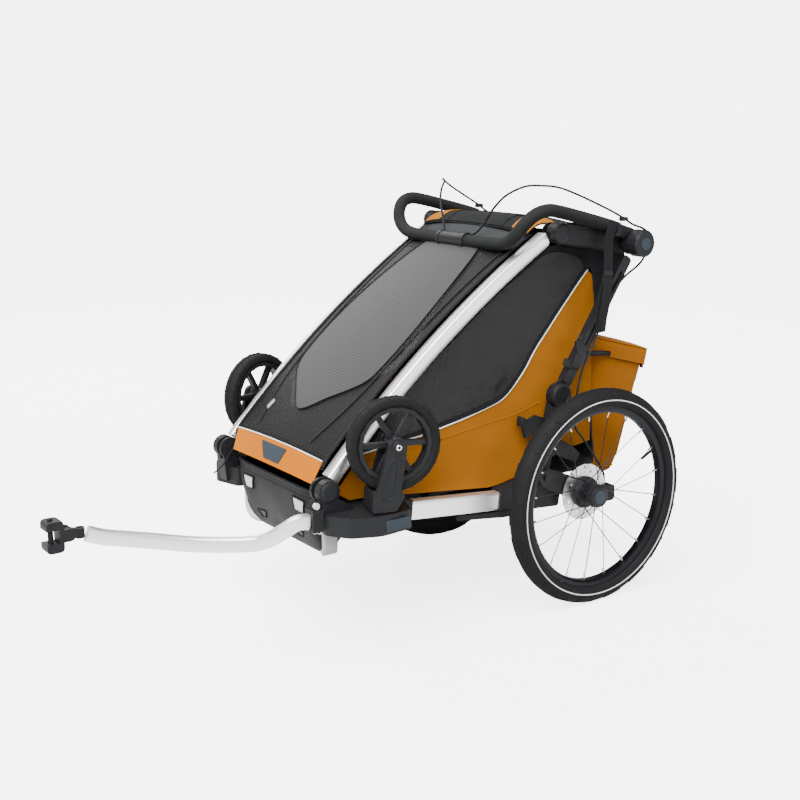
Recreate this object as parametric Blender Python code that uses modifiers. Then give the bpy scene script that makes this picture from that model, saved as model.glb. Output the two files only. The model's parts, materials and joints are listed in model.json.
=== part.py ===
"""Child bike trailer with a folding frame, sprung spoked wheels, stowed stroller wheels and a tow arm.

Metres, Z up, the trailer's front towards -Y and its left towards +X. Sizes are written with the big
wheels' axle at Y = 0; the last step shifts the whole trailer so that its box is centred on the origin.
Side-view places are (Y, Z) pairs. Each side's pieces are made once, on the left, and mirrored.
"""

import bpy
import bmesh
from math import acos, atan2, cos, pi, radians, sin
from mathutils import Matrix, Vector

GAP = 0.0003
MERGE = 1e-6

# Big wheels
WHEEL_RADIUS = 0.250
WHEEL_STEPS = 28
TYRE_SECTION = 0.0235
HALF_TRACK = 0.2955
BEAD_HALF_WIDTH = 0.0098
RIM_WELL = 0.2057
RIM_LIP = 0.2095
RIM_INNER = 0.1945
RIM_HALF_WIDTH = 0.0128
SPOKES = 20
SPOKE_RADIUS = 0.0012
AXLE_RADIUS = 0.006
PIN_PLAY = 0.0008
DISC_X = 0.2525
DISC_THICKNESS = 0.002
DISC_RADIUS = 0.066
DISC_BORE = 0.028
DISC_HOLES = 8
DISC_HOLE_RADIUS = 0.0030
HUB_INNER_X = DISC_X + DISC_THICKNESS + GAP
HUB_OUTER_X = 0.3080
HUB_CARRIER = 0.0370
HUB_FLANGE_INNER = 0.033
HUB_FLANGE_OUTER = 0.027
HUB_BARREL = 0.0170
HUB_CAP_RADIUS = 0.025
FLANGE_THICKNESS = 0.003
HUB_RECESS_DEPTH = 0.008
BUTTON_RADIUS = 0.0165
BUTTON_PROUD = 0.002

# Frame layers across, from the cabin outwards, and the side-view pivots of the fold
INNER_X = 0.195
TUBE_OUTER_X = 0.2225
ARM_INNER_X = 0.199
ARM_OUTER_X = 0.2405
POST_INNER_X = 0.2265
POST_OUTER_X = 0.2465
LOWER_POST_OUTER_X = 0.2393
FRONT_PIVOT = Vector((-0.674, 0.360))
TOP_PIVOT = Vector((-0.076, 0.848))
BAR_PIVOT = Vector((0.125, 0.818))
REAR_PIVOT = Vector((-0.072, 0.484))
POST_TOP = Vector((0.120, 0.776))
AXLE = Vector((0.0, WHEEL_RADIUS))
TUBE_DEPTH = 0.036
TUBE_SETBACK = 0.030
EYE_HALF = 0.006
POST_EYE_HALF = 0.004
FRONT_EYE = 0.026
TOP_EYE = 0.022
REAR_EYE = 0.028
BAR_EYE = 0.031
POST_WIDTH = 0.026
PIN_RADIUS = 0.006

# Suspension
SUSPENSION_PIVOT = Vector((-0.124, 0.305))
PLATE_INNER_X = 0.2400
PLATE_OUTER_X = 0.2492
EYE_OUTER_X = 0.2625
BOLT_OUTER_X = 0.2665
CALIPER_LOW = Vector((0.228, 0.046, 0.218))
CALIPER_HIGH = Vector((0.264, 0.088, 0.256))

# Rails and front castings
RAIL_INNER_X = 0.2010
RAIL_OUTER_X = 0.2290
RAIL_HEIGHT = 0.042
RAIL_FRONT = Vector((-0.469, 0.283))
RAIL_REAR = Vector((-0.231, 0.261))
WING_TOP = 0.3165
WING_BOTTOM = 0.2753
WING_FRONT = -0.690
WING_REAR = -0.500

# Stroller wheels
STEM = Vector((0.275, -0.579))
STEM_RADIUS = 0.012
TOE_IN = radians(15)
CASTER_RADIUS = 0.098
CASTER_SECTION = 0.018
CASTER_TREAD = 0.0785
CASTER_SETBACK = 0.028
CASTER_Z = 0.454
CASTER_SPOKES = 6
CASTER_STEPS = 18
CASTER_AXLE = 0.005
FORK_HALF_GAP = 0.0205
FORK_LEG = 0.010

# Handlebar
BAR_X = 0.2565
BAR_RADIUS = 0.014
BAR_HUB_INNER_X = 0.2485
BAR_HUB_OUTER_X = 0.3000
BAR_STUB = 0.010
BAR_RING_RADIUS = 0.0190
BAR_COLLAR = Vector((0.066, 0.853))
BAR_FIRST_BEND = Vector((0.017, 0.868))
CROSS_BAR = Vector((-0.188, 0.823))
GRIP_RADIUS = 0.0175
GRIP_HALF_LENGTH = 0.050
CABLE_RADIUS = 0.0026
CABLE_SPACING = 6 * CABLE_RADIUS
STRAP_THICKNESS = 0.0045
STRAP_WIDTH = 0.020

# Tow arm and hitch
TOW_HEIGHT = 0.032
TOW_WIDTH = 0.019
TOW_ARM = [
    (0.221, -0.7172, 0.305), (0.219, -0.742, 0.306), (0.202, -0.764, 0.288), (0.178, -0.786, 0.268),
    (0.148, -0.815, 0.2565), (0.100, -0.902, 0.260), (0.070, -0.993, 0.278), (0.056, -1.075, 0.297),
    (0.051, -1.112, 0.3105),
]
SOCKET_LOW = Vector((0.206, -0.716, 0.284))
SOCKET_HIGH = Vector((0.238, -0.6906, 0.330))
TOW_BUTTON = Vector((-0.706, 0.338))
TOW_BUTTON_RADIUS = 0.0066
HITCH_EYE = Vector((0.050, -1.150, 0.319))
HITCH_FRONT = -1.196
HITCH_HEIGHT = 0.062
HITCH_WIDTH = 0.036
HITCH_THROAT = 0.028
KNUCKLE_HALF = 0.0075
KNUCKLE_RADIUS = 0.0105
YAW_REACH = 0.014
YAW_PIN = 0.004

# Cabin
TUB_HALF_WIDTH = 0.1672
SIDE_PANEL_X = ARM_INNER_X + 0.0005
FABRIC = 0.005
HOOP_Y = -0.600
HOOP_X = 0.179
HOOP_BOTTOM = 0.150
HOOP_THICKNESS = 0.014
HOOP_DEPTH = 0.034
SEAT_THICKNESS = 0.044
BACK_THICKNESS = 0.032
BAG_FRONT_LOW = Vector((0.092, 0.246))
BAG_FRONT_HIGH = Vector((0.074, 0.568))
BAG_REAR_LOW = Vector((0.190, 0.240))
BAG_REAR_HIGH = Vector((0.262, 0.518))
BAG_HALF_LOW = 0.150
BAG_HALF_HIGH = 0.182
LID_THICKNESS = 0.030

BLACK = (0.024, 0.025, 0.027)
SOFT_BLACK = (0.033, 0.034, 0.036)
ALUMINIUM = (0.80, 0.81, 0.82)
PALE = (0.62, 0.62, 0.61)
AMBER = (0.62, 0.27, 0.050)
DARK_CLOTH = (0.045, 0.045, 0.047)
SLATE = (0.075, 0.092, 0.115)
RUBBER = (0.030, 0.030, 0.031)
STEEL = (0.60, 0.60, 0.61)


# Building blocks
def clear_scene():
    for obj in list(bpy.data.objects):
        bpy.data.objects.remove(obj, do_unlink=True)
    for collection in list(bpy.data.collections):
        bpy.data.collections.remove(collection)


def new_collection(name):
    collection = bpy.data.collections.new(name)
    bpy.context.scene.collection.children.link(collection)
    return collection


def placed(name, data, collection):
    obj = bpy.data.objects.new(name, data)
    collection.objects.link(obj)
    return obj


def working(name, data):
    """A shape on its way to a piece, or a cutter: the build leaves it out."""
    obj = placed(name, data, cutters)
    obj.hide_render = True
    obj.display_type = "WIRE"
    return obj


def from_bmesh(name, bm):
    """A closed working mesh from a bmesh, welded and with its faces turned out."""
    bmesh.ops.remove_doubles(bm, verts=bm.verts, dist=MERGE)
    bmesh.ops.recalc_face_normals(bm, faces=bm.faces)
    mesh = bpy.data.meshes.new(name)
    bm.to_mesh(mesh)
    bm.free()
    return working(name, mesh)


def bake(obj):
    """The object as a welded mesh with its modifiers, bevels and caps applied."""
    graph = bpy.context.evaluated_depsgraph_get()
    mesh = bpy.data.meshes.new_from_object(obj.evaluated_get(graph))
    mesh.transform(obj.matrix_world)
    bm = bmesh.new()
    bm.from_mesh(mesh)
    name = obj.name
    bpy.data.objects.remove(obj, do_unlink=True)
    return from_bmesh(name, bm)


def boolean(target, tools, operation, use_self=False):
    for tool in tools:
        modifier = target.modifiers.new(operation, "BOOLEAN")
        modifier.operation = operation
        modifier.solver = "EXACT"
        modifier.use_self = use_self
        modifier.object = tool
        target = bake(target)
        bpy.data.objects.remove(tool, do_unlink=True)
    return target


def union(target, *tools):
    return boolean(target, tools, "UNION")


def cut(target, *tools):
    return boolean(target, tools, "DIFFERENCE")


def outline_curve(points, half_depth, fill="BOTH"):
    curve = bpy.data.curves.new("outline", "CURVE")
    curve.dimensions = "2D"
    curve.fill_mode = fill
    curve.extrude = half_depth
    spline = curve.splines.new("POLY")
    spline.points.add(len(points) - 1)
    for point, (u, v) in zip(spline.points, points):
        point.co = (u, v, 0, 1)
    spline.use_cyclic_u = True
    return working("outline", curve)


def slab(points, low, high, axis="X"):
    """A flat outline given depth along one axis: (y, z) along X, (x, z) along Y, (x, y) along Z."""
    obj = outline_curve(points, (high - low) / 2)
    middle = (low + high) / 2
    if axis == "X":
        obj.matrix_world = Matrix(((0, 0, 1, middle), (1, 0, 0, 0), (0, 1, 0, 0), (0, 0, 0, 1)))
    elif axis == "Y":
        obj.matrix_world = Matrix(((1, 0, 0, 0), (0, 0, -1, middle), (0, 1, 0, 0), (0, 0, 0, 1)))
    else:
        obj.matrix_world = Matrix.Translation((0, 0, middle))
    return bake(obj)


def box(low, high):
    low, high = Vector(low), Vector(high)
    bm = bmesh.new()
    scale = Matrix.Diagonal((*(high - low), 1))
    bmesh.ops.create_cube(bm, size=1, matrix=Matrix.Translation((low + high) / 2) @ scale)
    return from_bmesh("box", bm)


def rod(start, end, radius, sides=12):
    start, end = Vector(start), Vector(end)
    bm = bmesh.new()
    add_rod(bm, start, end, radius, sides)
    return from_bmesh("rod", bm)


def add_rod(bm, start, end, radius, sides):
    turn = (end - start).to_track_quat("Z", "Y").to_matrix().to_4x4()
    place = Matrix.Translation((start + end) / 2) @ turn
    length = (end - start).length
    bmesh.ops.create_cone(
        bm, cap_ends=True, segments=sides, radius1=radius, radius2=radius, depth=length, matrix=place
    )


def drum(centre, radius, low, high, sides=14, axis="X"):
    """A disc with its flat faces at two places along an axis, about a centre in the other two."""
    turns = [2 * pi * k / sides for k in range(sides)]
    rim = [(centre[0] + radius * cos(turn), centre[1] + radius * sin(turn)) for turn in turns]
    return slab(rim, low, high, axis)


def link(start, start_radius, end, end_radius, sides=12):
    """The outline round two circles and the two straight edges that touch both."""
    start, end = Vector(start), Vector(end)
    along = end - start
    heading = atan2(along.y, along.x)
    lean = acos((start_radius - end_radius) / along.length)
    half = sides // 2
    points = []
    for k in range(half + 1):
        angle = heading + lean + (2 * pi - 2 * lean) * k / half
        points.append((start.x + start_radius * cos(angle), start.y + start_radius * sin(angle)))
    for k in range(half + 1):
        angle = heading - lean + 2 * lean * k / half
        points.append((end.x + end_radius * cos(angle), end.y + end_radius * sin(angle)))
    return points


def rounded(points, radius, steps=2, closed=True):
    """Corners replaced by arcs, in two or three dimensions."""
    points = [Vector(point) for point in points]
    count = len(points)
    result = []
    for k, corner in enumerate(points):
        if not closed and k in (0, count - 1):
            result.append(corner)
            continue
        before = points[k - 1] - corner
        after = points[(k + 1) % count] - corner
        reach = min(radius, 0.45 * before.length, 0.45 * after.length)
        first = corner + before.normalized() * reach
        last = corner + after.normalized() * reach
        for step in range(steps + 1):
            t = step / steps
            result.append(first * (1 - t) ** 2 + corner * 2 * t * (1 - t) + last * t**2)
    return result


def smooth(points, spacing):
    """Evenly spaced points on a smooth curve through the given ones."""
    points = [Vector(point) for point in points]
    padded = [2 * points[0] - points[1]] + points + [2 * points[-1] - points[-2]]
    fine = []
    parts = 16
    for k in range(1, len(padded) - 2):
        a, b, c, d = padded[k - 1 : k + 3]
        for step in range(parts):
            t = step / parts
            bend = (3 * b - a - 3 * c + d) * t**3 + (2 * a - 5 * b + 4 * c - d) * t**2
            fine.append(0.5 * (bend + (c - a) * t + 2 * b))
    fine.append(points[-1])
    lengths = [0.0]
    for k in range(1, len(fine)):
        lengths.append(lengths[-1] + (fine[k] - fine[k - 1]).length)
    count = max(2, round(lengths[-1] / spacing))
    result = []
    place = 0
    for step in range(count + 1):
        wanted = lengths[-1] * step / count
        while place < len(fine) - 2 and lengths[place + 1] < wanted:
            place += 1
        share = (wanted - lengths[place]) / (lengths[place + 1] - lengths[place])
        result.append(fine[place].lerp(fine[place + 1], min(1, share)))
    return result


def ribbon(path, half_width):
    """The outline of a band of even width along a flat path."""
    path = [Vector(point) for point in path]
    last = len(path) - 1
    left, right = [], []
    for k, point in enumerate(path):
        way = (path[min(k + 1, last)] - path[max(k - 1, 0)]).normalized()
        across = Vector((-way.y, way.x)) * half_width
        left.append(point + across)
        right.append(point - across)
    return left + right[::-1]


def on_line(start, end, along, across=0.0):
    """A point a distance from the start along a side-view line, and a distance to its left."""
    way = (Vector(end) - Vector(start)).normalized()
    return Vector(start) + way * along + Vector((-way.y, way.x)) * across


def strip(start, end, first, last, half_width):
    """A straight bar outline along a side-view line."""
    corners = ((first, -half_width), (last, -half_width), (last, half_width), (first, half_width))
    return [on_line(start, end, *corner) for corner in corners]


def rectangle(low, high):
    return [(low[0], low[1]), (high[0], low[1]), (high[0], high[1]), (low[0], high[1])]


def lathe(profile, centre, steps=24):
    """A profile of (radius, place across) turned about an axis along X through the centre."""
    edges = [(k, (k + 1) % len(profile)) for k in range(len(profile))]
    mesh = bpy.data.meshes.new("turned")
    mesh.from_pydata([(across, radius, 0) for radius, across in profile], edges, [])
    obj = working("turned", mesh)
    obj.location = centre
    screw = obj.modifiers.new("Screw", "SCREW")
    screw.axis = "X"
    screw.steps = screw.render_steps = steps
    screw.use_merge_vertices = True
    screw.merge_threshold = MERGE
    bpy.context.view_layer.update()
    return bake(obj)


def tube(path, radius, resolution=2):
    curve = bpy.data.curves.new("tube", "CURVE")
    curve.dimensions = "3D"
    curve.twist_mode = "MINIMUM"
    curve.use_fill_caps = True
    curve.bevel_depth = radius
    curve.bevel_resolution = resolution
    spline = curve.splines.new("POLY")
    spline.points.add(len(path) - 1)
    for point, place in zip(spline.points, path):
        point.co = (*place, 1)
    return bake(working("tube", curve))


def oval_bar(path, width, height):
    """A bar with a flattened round section whose height stays upright along the path."""
    curve = bpy.data.curves.new("bar", "CURVE")
    curve.dimensions = "3D"
    curve.twist_mode = "Z_UP"
    curve.use_fill_caps = True
    curve.bevel_mode = "OBJECT"
    corners = rectangle((-width / 2, -height / 2), (width / 2, height / 2))
    section = outline_curve(rounded(corners, 0.45 * width, 1), 0, "NONE")
    curve.bevel_object = section
    spline = curve.splines.new("POLY")
    spline.points.add(len(path) - 1)
    for point, place in zip(spline.points, path):
        point.co = (*place, 1)
    made = bake(working("bar", curve))
    bpy.data.objects.remove(section, do_unlink=True)
    return made


def cloth(path, half_widths, rises, columns=6):
    """A sheet across the trailer: a side-view path, with a half width and a rise at each of its points."""
    path = [Vector(point) for point in path]
    rows = len(path) - 1
    bm = bmesh.new()
    bmesh.ops.create_grid(bm, x_segments=columns, y_segments=rows, size=1)
    for vert in bm.verts:
        across = vert.co.x
        row = round((vert.co.y + 1) / 2 * rows)
        way = path[min(row + 1, rows)] - path[max(row - 1, 0)]
        normal = Vector((-way.y, way.x)).normalized()
        place = path[row] + normal * rises[row] * (1 - across**2)
        vert.co = (across * half_widths[row], place.x, place.y)
    mesh = bpy.data.meshes.new("cloth")
    bm.to_mesh(mesh)
    bm.free()
    obj = working("cloth", mesh)
    solid = obj.modifiers.new("Solidify", "SOLIDIFY")
    solid.thickness = FABRIC
    solid.offset = -1
    solid.use_even_offset = True
    return bake(obj)


def ring_cuts(bm, axis, count):
    edges = [edge for edge in bm.edges if abs(edge.verts[0].co[axis] - edge.verts[1].co[axis]) > 1.9]
    bmesh.ops.subdivide_edges(bm, edges=edges, cuts=count, use_grid_fill=True)


def cushion(low, high, half_width, thickness, channels):
    """A padded board between two side-view points: drawn-in sides, a crown, and sewn channels across it."""
    way = (high - low).normalized()
    normal = Vector((-way.y, way.x))
    bm = bmesh.new()
    bmesh.ops.create_cube(bm, size=2)
    ring_cuts(bm, 0, 2)
    ring_cuts(bm, 1, 2 * channels - 1)
    for vert in bm.verts:
        across, along, up = vert.co
        ridge = round((along + 1) * channels) % 2
        full = (1 - across**4) * (1 - along**8)
        lift = up * thickness * (0.35 + 0.15 * full)
        if up > 0:
            lift += thickness * 0.35 * ridge * full
        place = low.lerp(high, (along + 1) / 2) + normal * lift
        vert.co = (across * half_width, place.x, place.y)
    obj = from_bmesh("cushion", bm)
    soft = obj.modifiers.new("Subdivision", "SUBSURF")
    soft.levels = soft.render_levels = 1
    soft.use_limit_surface = False
    return bake(obj)


def moved(obj, matrix):
    obj.data.transform(matrix)
    return obj


def mirrored(obj, name):
    """The other side's copy of a piece, across the trailer's centre plane."""
    bm = bmesh.new()
    bm.from_mesh(obj.data)
    bmesh.ops.scale(bm, vec=(-1, 1, 1), verts=bm.verts)
    bmesh.ops.reverse_faces(bm, faces=bm.faces)
    return from_bmesh(name, bm)


def world_place(obj):
    place = Vector((0, 0, 0))
    while obj:
        place = place + obj.location
        obj = obj.parent
    return place


def axis_empty(name, place, parent=None):
    """An empty on a joint axis: what turns or slides there is parented to it."""
    parent = parent or trailer
    empty = placed(name, None, pieces)
    empty.empty_display_size = 0.05
    empty.parent = parent
    empty.location = Vector(place) - world_place(parent)
    return empty


def finish(obj, name, look, axis=None):
    """Names a piece, gives it its own material, and puts its origin on its joint's axis."""
    colour, metallic, roughness = look
    axis = axis or trailer
    obj.name = obj.data.name = name
    material = bpy.data.materials.new(name)
    material.use_nodes = True
    shader = material.node_tree.nodes["Principled BSDF"]
    shader.inputs["Base Color"].default_value = (*colour, 1)
    shader.inputs["Metallic"].default_value = metallic
    shader.inputs["Roughness"].default_value = roughness
    material.diffuse_color = (*colour, 1)
    obj.data.materials.clear()
    obj.data.materials.append(material)
    obj.data.shade_smooth()
    obj.data.set_sharp_from_angle(angle=radians(35))
    obj.data.transform(Matrix.Translation(-world_place(axis)))
    cutters.objects.unlink(obj)
    pieces.objects.link(obj)
    obj.hide_render = False
    obj.display_type = "TEXTURED"
    obj.parent = axis
    return obj


def pair(left, stem, look, axes=(None, None)):
    """A left piece and its mirrored right one."""
    right = mirrored(left, stem + "_right")
    finish(left, stem + "_left", look, axes[0])
    finish(right, stem + "_right", look, axes[1])


def axis_pair(stem, place, parents=(None, None)):
    """The left and right empties of a joint that each side has."""
    x, y, z = place
    left = axis_empty("axis_" + stem + "_left", (x, y, z), parents[0])
    right = axis_empty("axis_" + stem + "_right", (-x, y, z), parents[1])
    return left, right


plastic = (BLACK, 0.0, 0.5)
dark_metal = (BLACK, 0.6, 0.35)
bright_metal = (ALUMINIUM, 0.9, 0.3)
rubber = (RUBBER, 0.0, 0.8)
button_plastic = (SLATE, 0.0, 0.5)
dark_cloth = (DARK_CLOTH, 0.0, 0.85)
amber_cloth = (AMBER, 0.0, 0.85)

clear_scene()
pieces = new_collection("child_bike_trailer")
cutters = new_collection("cutters")
trailer = placed("trailer", None, pieces)
front_frame = axis_empty("axis_front_frame", (0, *FRONT_PIVOT))
upper_frame = axis_empty("axis_upper_frame", (0, *TOP_PIVOT), front_frame)
rear_posts = axis_empty("axis_rear_posts", (0, *REAR_PIVOT))
ring_axis = axis_empty("axis_bar_ring", (0, *BAR_PIVOT), upper_frame)
bar_axis = axis_empty("axis_handlebar", (0, *BAR_PIVOT), ring_axis)
grip_axis = axis_empty("axis_brake_grip", (0, *CROSS_BAR), bar_axis)
arm_axes = axis_pair("suspension", (PLATE_OUTER_X, *SUSPENSION_PIVOT))
wheel_axes = axis_pair("wheel", (HALF_TRACK, *AXLE), arm_axes)
fork_axes = axis_pair("fork", (STEM.x, STEM.y, WING_TOP))


# Big wheels: each is a tyre on a rim, a hub laced with crossing spokes, a drilled disc and a push button
def make_tyre():
    middle = WHEEL_RADIUS - TYRE_SECTION
    wrap = radians(128)
    arc = 6
    profile = []
    for k in range(arc + 1):
        angle = -wrap + 2 * wrap * k / arc
        profile.append((middle + TYRE_SECTION * cos(angle), TYRE_SECTION * sin(angle)))
    widest = max(radius for radius, _ in profile)
    profile = [(radius + WHEEL_RADIUS - widest, across) for radius, across in profile]
    seat, lip = RIM_WELL + GAP, RIM_LIP + GAP
    bead = BEAD_HALF_WIDTH
    profile += [(lip, bead), (seat, bead), (seat, -bead), (lip, -bead)]
    return lathe(profile, (HALF_TRACK, *AXLE), WHEEL_STEPS)


def make_rim():
    lip = BEAD_HALF_WIDTH + 2 * GAP
    profile = [
        (RIM_LIP, -RIM_HALF_WIDTH), (RIM_INNER, -RIM_HALF_WIDTH / 2), (RIM_INNER, RIM_HALF_WIDTH / 2),
        (RIM_LIP, RIM_HALF_WIDTH), (RIM_LIP, lip), (RIM_WELL, lip), (RIM_WELL, -lip), (RIM_LIP, -lip),
    ]
    return lathe(profile, (HALF_TRACK, *AXLE), WHEEL_STEPS)


def lacing():
    """The ends of each spoke: its head on a flange and its tip short of the rim, crossing its neighbours."""
    reach = RIM_INNER * cos(pi / WHEEL_STEPS) - GAP
    inner_flange = (HUB_INNER_X + 0.014, HUB_FLANGE_INNER - 0.003, radians(54))
    outer_flange = (HUB_OUTER_X - 0.016, HUB_FLANGE_OUTER - 0.003, radians(46))
    for k in range(SPOKES):
        flange_x, flange_radius, lag = (inner_flange, outer_flange)[k % 2]
        way = 1 if (k // 2) % 2 else -1
        rim_angle = 2 * pi * (k + 0.5) / SPOKES
        hub_angle = rim_angle + way * lag
        head_x = flange_x + way * FLANGE_THICKNESS
        head = Vector((head_x, flange_radius * cos(hub_angle), flange_radius * sin(hub_angle)))
        tip = Vector((HALF_TRACK, reach * cos(rim_angle), reach * sin(rim_angle)))
        inward = (head - tip).normalized()
        yield tip + inward * GAP, head + inward * SPOKE_RADIUS


def make_spoked_hub():
    bore = AXLE_RADIUS + PIN_PLAY
    recess = BUTTON_RADIUS + 2 * GAP
    floor = HUB_OUTER_X - HUB_RECESS_DEPTH
    carrier_end = HUB_INNER_X + 0.008
    inner_flange = HUB_INNER_X + 0.014
    outer_flange = HUB_OUTER_X - 0.016
    half = FLANGE_THICKNESS / 2
    bevel = 0.002
    profile = [
        (bore, HUB_INNER_X), (HUB_CARRIER, HUB_INNER_X), (HUB_CARRIER, carrier_end),
        (HUB_FLANGE_INNER, inner_flange - half), (HUB_FLANGE_INNER, inner_flange + half),
        (HUB_BARREL, inner_flange + 3 * half), (HUB_BARREL, outer_flange - 3 * half),
        (HUB_FLANGE_OUTER, outer_flange - half), (HUB_FLANGE_OUTER, outer_flange + half),
        (HUB_CAP_RADIUS, HUB_OUTER_X - bevel), (HUB_CAP_RADIUS - bevel, HUB_OUTER_X),
        (recess, HUB_OUTER_X), (recess, floor), (bore, floor),
    ]
    hub = lathe(profile, (0, *AXLE), 16)
    spokes = bmesh.new()
    centre = Vector((0, *AXLE))
    for tip, head in lacing():
        add_rod(spokes, centre + tip, centre + head, SPOKE_RADIUS, 4)
    mesh = bpy.data.meshes.new("spokes")
    spokes.to_mesh(mesh)
    spokes.free()
    return boolean(hub, [working("spokes", mesh)], "UNION", use_self=True)


def make_disc():
    face = DISC_X + DISC_THICKNESS
    profile = [(DISC_BORE, DISC_X), (DISC_RADIUS, DISC_X), (DISC_RADIUS, face), (DISC_BORE, face)]
    disc = lathe(profile, (0, *AXLE), 20)
    holes = bmesh.new()
    reach = Vector((2 * DISC_THICKNESS, 0, 0))
    for row, radius in enumerate((DISC_RADIUS - 0.007, DISC_RADIUS - 0.017)):
        for k in range(DISC_HOLES):
            angle = 2 * pi * (k + 0.5 * row) / DISC_HOLES
            centre = Vector((DISC_X, AXLE.x + radius * cos(angle), AXLE.y + radius * sin(angle)))
            add_rod(holes, centre - reach, centre + reach, DISC_HOLE_RADIUS, 6)
    return cut(disc, from_bmesh("holes", holes))


def make_wheel_button():
    face = HUB_OUTER_X + BUTTON_PROUD
    return drum(AXLE, BUTTON_RADIUS, face - 0.0065, face)


pair(make_tyre(), "tyre", rubber, wheel_axes)
pair(make_rim(), "rim", dark_metal, wheel_axes)
pair(make_spoked_hub(), "spoked_hub", dark_metal, wheel_axes)
pair(make_disc(), "brake_disc", (STEEL, 0.9, 0.3), wheel_axes)
pair(make_wheel_button(), "wheel_button", button_plastic, wheel_axes)


# Suspension arms: an eye on the frame's pin, a plate to the axle stub, and the caliper over the disc
def make_axle_arm():
    arm = slab(link(SUSPENSION_PIVOT, 0.022, AXLE, 0.026), PLATE_INNER_X, PLATE_OUTER_X)
    arm = union(arm, drum(SUSPENSION_PIVOT, 0.020, PLATE_OUTER_X - GAP, EYE_OUTER_X))
    arm = union(arm, drum(SUSPENSION_PIVOT, 0.007, EYE_OUTER_X - GAP, BOLT_OUTER_X, 6))
    stub_end = HUB_OUTER_X - HUB_RECESS_DEPTH - 0.004
    arm = union(arm, drum(AXLE, AXLE_RADIUS, PLATE_OUTER_X - GAP, stub_end, 12))
    tail = rectangle((AXLE.x, CALIPER_LOW.z + 0.004), (CALIPER_LOW.y + 0.010, CALIPER_HIGH.z - 0.004))
    arm = union(arm, slab(tail, PLATE_INNER_X + 0.001, PLATE_OUTER_X - 0.001))
    block = slab(rounded(rectangle(CALIPER_LOW.yz, CALIPER_HIGH.yz), 0.008), CALIPER_LOW.x, CALIPER_HIGH.x)
    room = 0.0012
    slot = drum(AXLE, DISC_RADIUS + 0.004, DISC_X - room, DISC_X + DISC_THICKNESS + room, 28)
    arm = union(arm, cut(block, slot))
    bore = drum(SUSPENSION_PIVOT, PIN_RADIUS + PIN_PLAY, PLATE_INNER_X - 0.01, EYE_OUTER_X - 0.004, 16)
    return cut(arm, bore)


pair(make_axle_arm(), "axle_arm", (BLACK, 0.3, 0.45), arm_axes)

# Side rails between the front and the rear castings
rail_length = (RAIL_REAR - RAIL_FRONT).length


def rail_point(along, across):
    return on_line(RAIL_FRONT, RAIL_REAR, along, across)


def along_line(obj, start, end):
    """A shape made from the origin along +Y, laid on a side-view line."""
    way = Vector(end) - Vector(start)
    turn = Matrix.Rotation(atan2(way.y, way.x), 4, "X")
    return moved(obj, Matrix.Translation((0, *start)) @ turn)


def make_rail():
    corners = rectangle((RAIL_INNER_X, -RAIL_HEIGHT / 2), (RAIL_OUTER_X, RAIL_HEIGHT / 2))
    return along_line(slab(rounded(corners, 0.006), GAP, rail_length - GAP, "Y"), RAIL_FRONT, RAIL_REAR)


pair(make_rail(), "side_rail", bright_metal)


# Front castings: the folding knuckle, the wing that carries the stroller fork, and the rail socket
def make_front_bracket():
    middle = (INNER_X + TUBE_OUTER_X) / 2
    cheek_out = TUBE_OUTER_X + 0.0105
    low, high = middle - EYE_HALF - GAP, middle + EYE_HALF + GAP
    wing = [
        (0.168, WING_FRONT + 0.020), (0.240, WING_FRONT), (0.288, -0.660), (0.312, -0.600),
        (0.303, WING_REAR - 0.020), (0.240, WING_REAR), (0.168, WING_REAR),
    ]
    body = slab(rounded(wing, 0.010), WING_BOTTOM, WING_TOP, "Z")
    overlap = 0.030
    wall = RAIL_HEIGHT / 2 + 0.003
    socket = [
        rail_point(-0.040, -wall), rail_point(0, -wall), rail_point(0, wall),
        (WING_REAR - overlap, WING_TOP), (WING_REAR - overlap, WING_BOTTOM),
    ]
    body = union(body, slab(socket, INNER_X, RAIL_OUTER_X + 0.002))
    lug = [
        FRONT_PIVOT + Vector((-0.012, -0.075)), FRONT_PIVOT + Vector((0.060, -0.075)),
        FRONT_PIVOT + Vector((0.056, -0.037)), FRONT_PIVOT + Vector((0.012, -0.012)),
        FRONT_PIVOT + Vector((-0.018, 0)),
    ]
    boss = 0.0006
    body = union(body, slab(lug, INNER_X, cheek_out))
    body = union(body, drum(FRONT_PIVOT, FRONT_EYE - 0.001, INNER_X + boss, cheek_out + boss))
    body = union(body, drum(FRONT_PIVOT, FRONT_EYE - 0.006, cheek_out - boss, cheek_out + 0.002))
    body = cut(body, drum(FRONT_PIVOT, FRONT_EYE + 0.004, low, high))
    body = union(body, drum(FRONT_PIVOT, PIN_RADIUS, INNER_X + 0.001, cheek_out, 12))
    return cut(body, drum(STEM, STEM_RADIUS + PIN_PLAY, WING_TOP - 0.026, WING_TOP + 0.01, 16, "Z"))


pair(make_front_bracket(), "front_bracket", plastic)


# Front frame tubes: a silver tube with a thin eye at each end
def make_front_tube():
    middle = (INNER_X + TUBE_OUTER_X) / 2
    low, high = middle - EYE_HALF, middle + EYE_HALF
    span = (TOP_PIVOT - FRONT_PIVOT).length
    section = rectangle((INNER_X, -TUBE_DEPTH / 2), (TUBE_OUTER_X, TUBE_DEPTH / 2))
    body = slab(rounded(section, 0.006), TUBE_SETBACK, span - TUBE_SETBACK + 0.004, "Y")
    body = along_line(body, FRONT_PIVOT, TOP_PIVOT)
    ends = ((FRONT_PIVOT, TOP_PIVOT, FRONT_EYE - 0.001), (TOP_PIVOT, FRONT_PIVOT, TOP_EYE - 0.001))
    for pivot, other, radius in ends:
        eye = link(pivot, radius, on_line(pivot, other, TUBE_SETBACK + 0.010), 0.7 * radius)
        body = union(body, slab(eye, low, high))
        body = cut(body, drum(pivot, PIN_RADIUS + PIN_PLAY, low - 0.01, high + 0.01, 16))
    return body


pair(make_front_tube(), "front_tube", bright_metal, (front_frame, front_frame))


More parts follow.
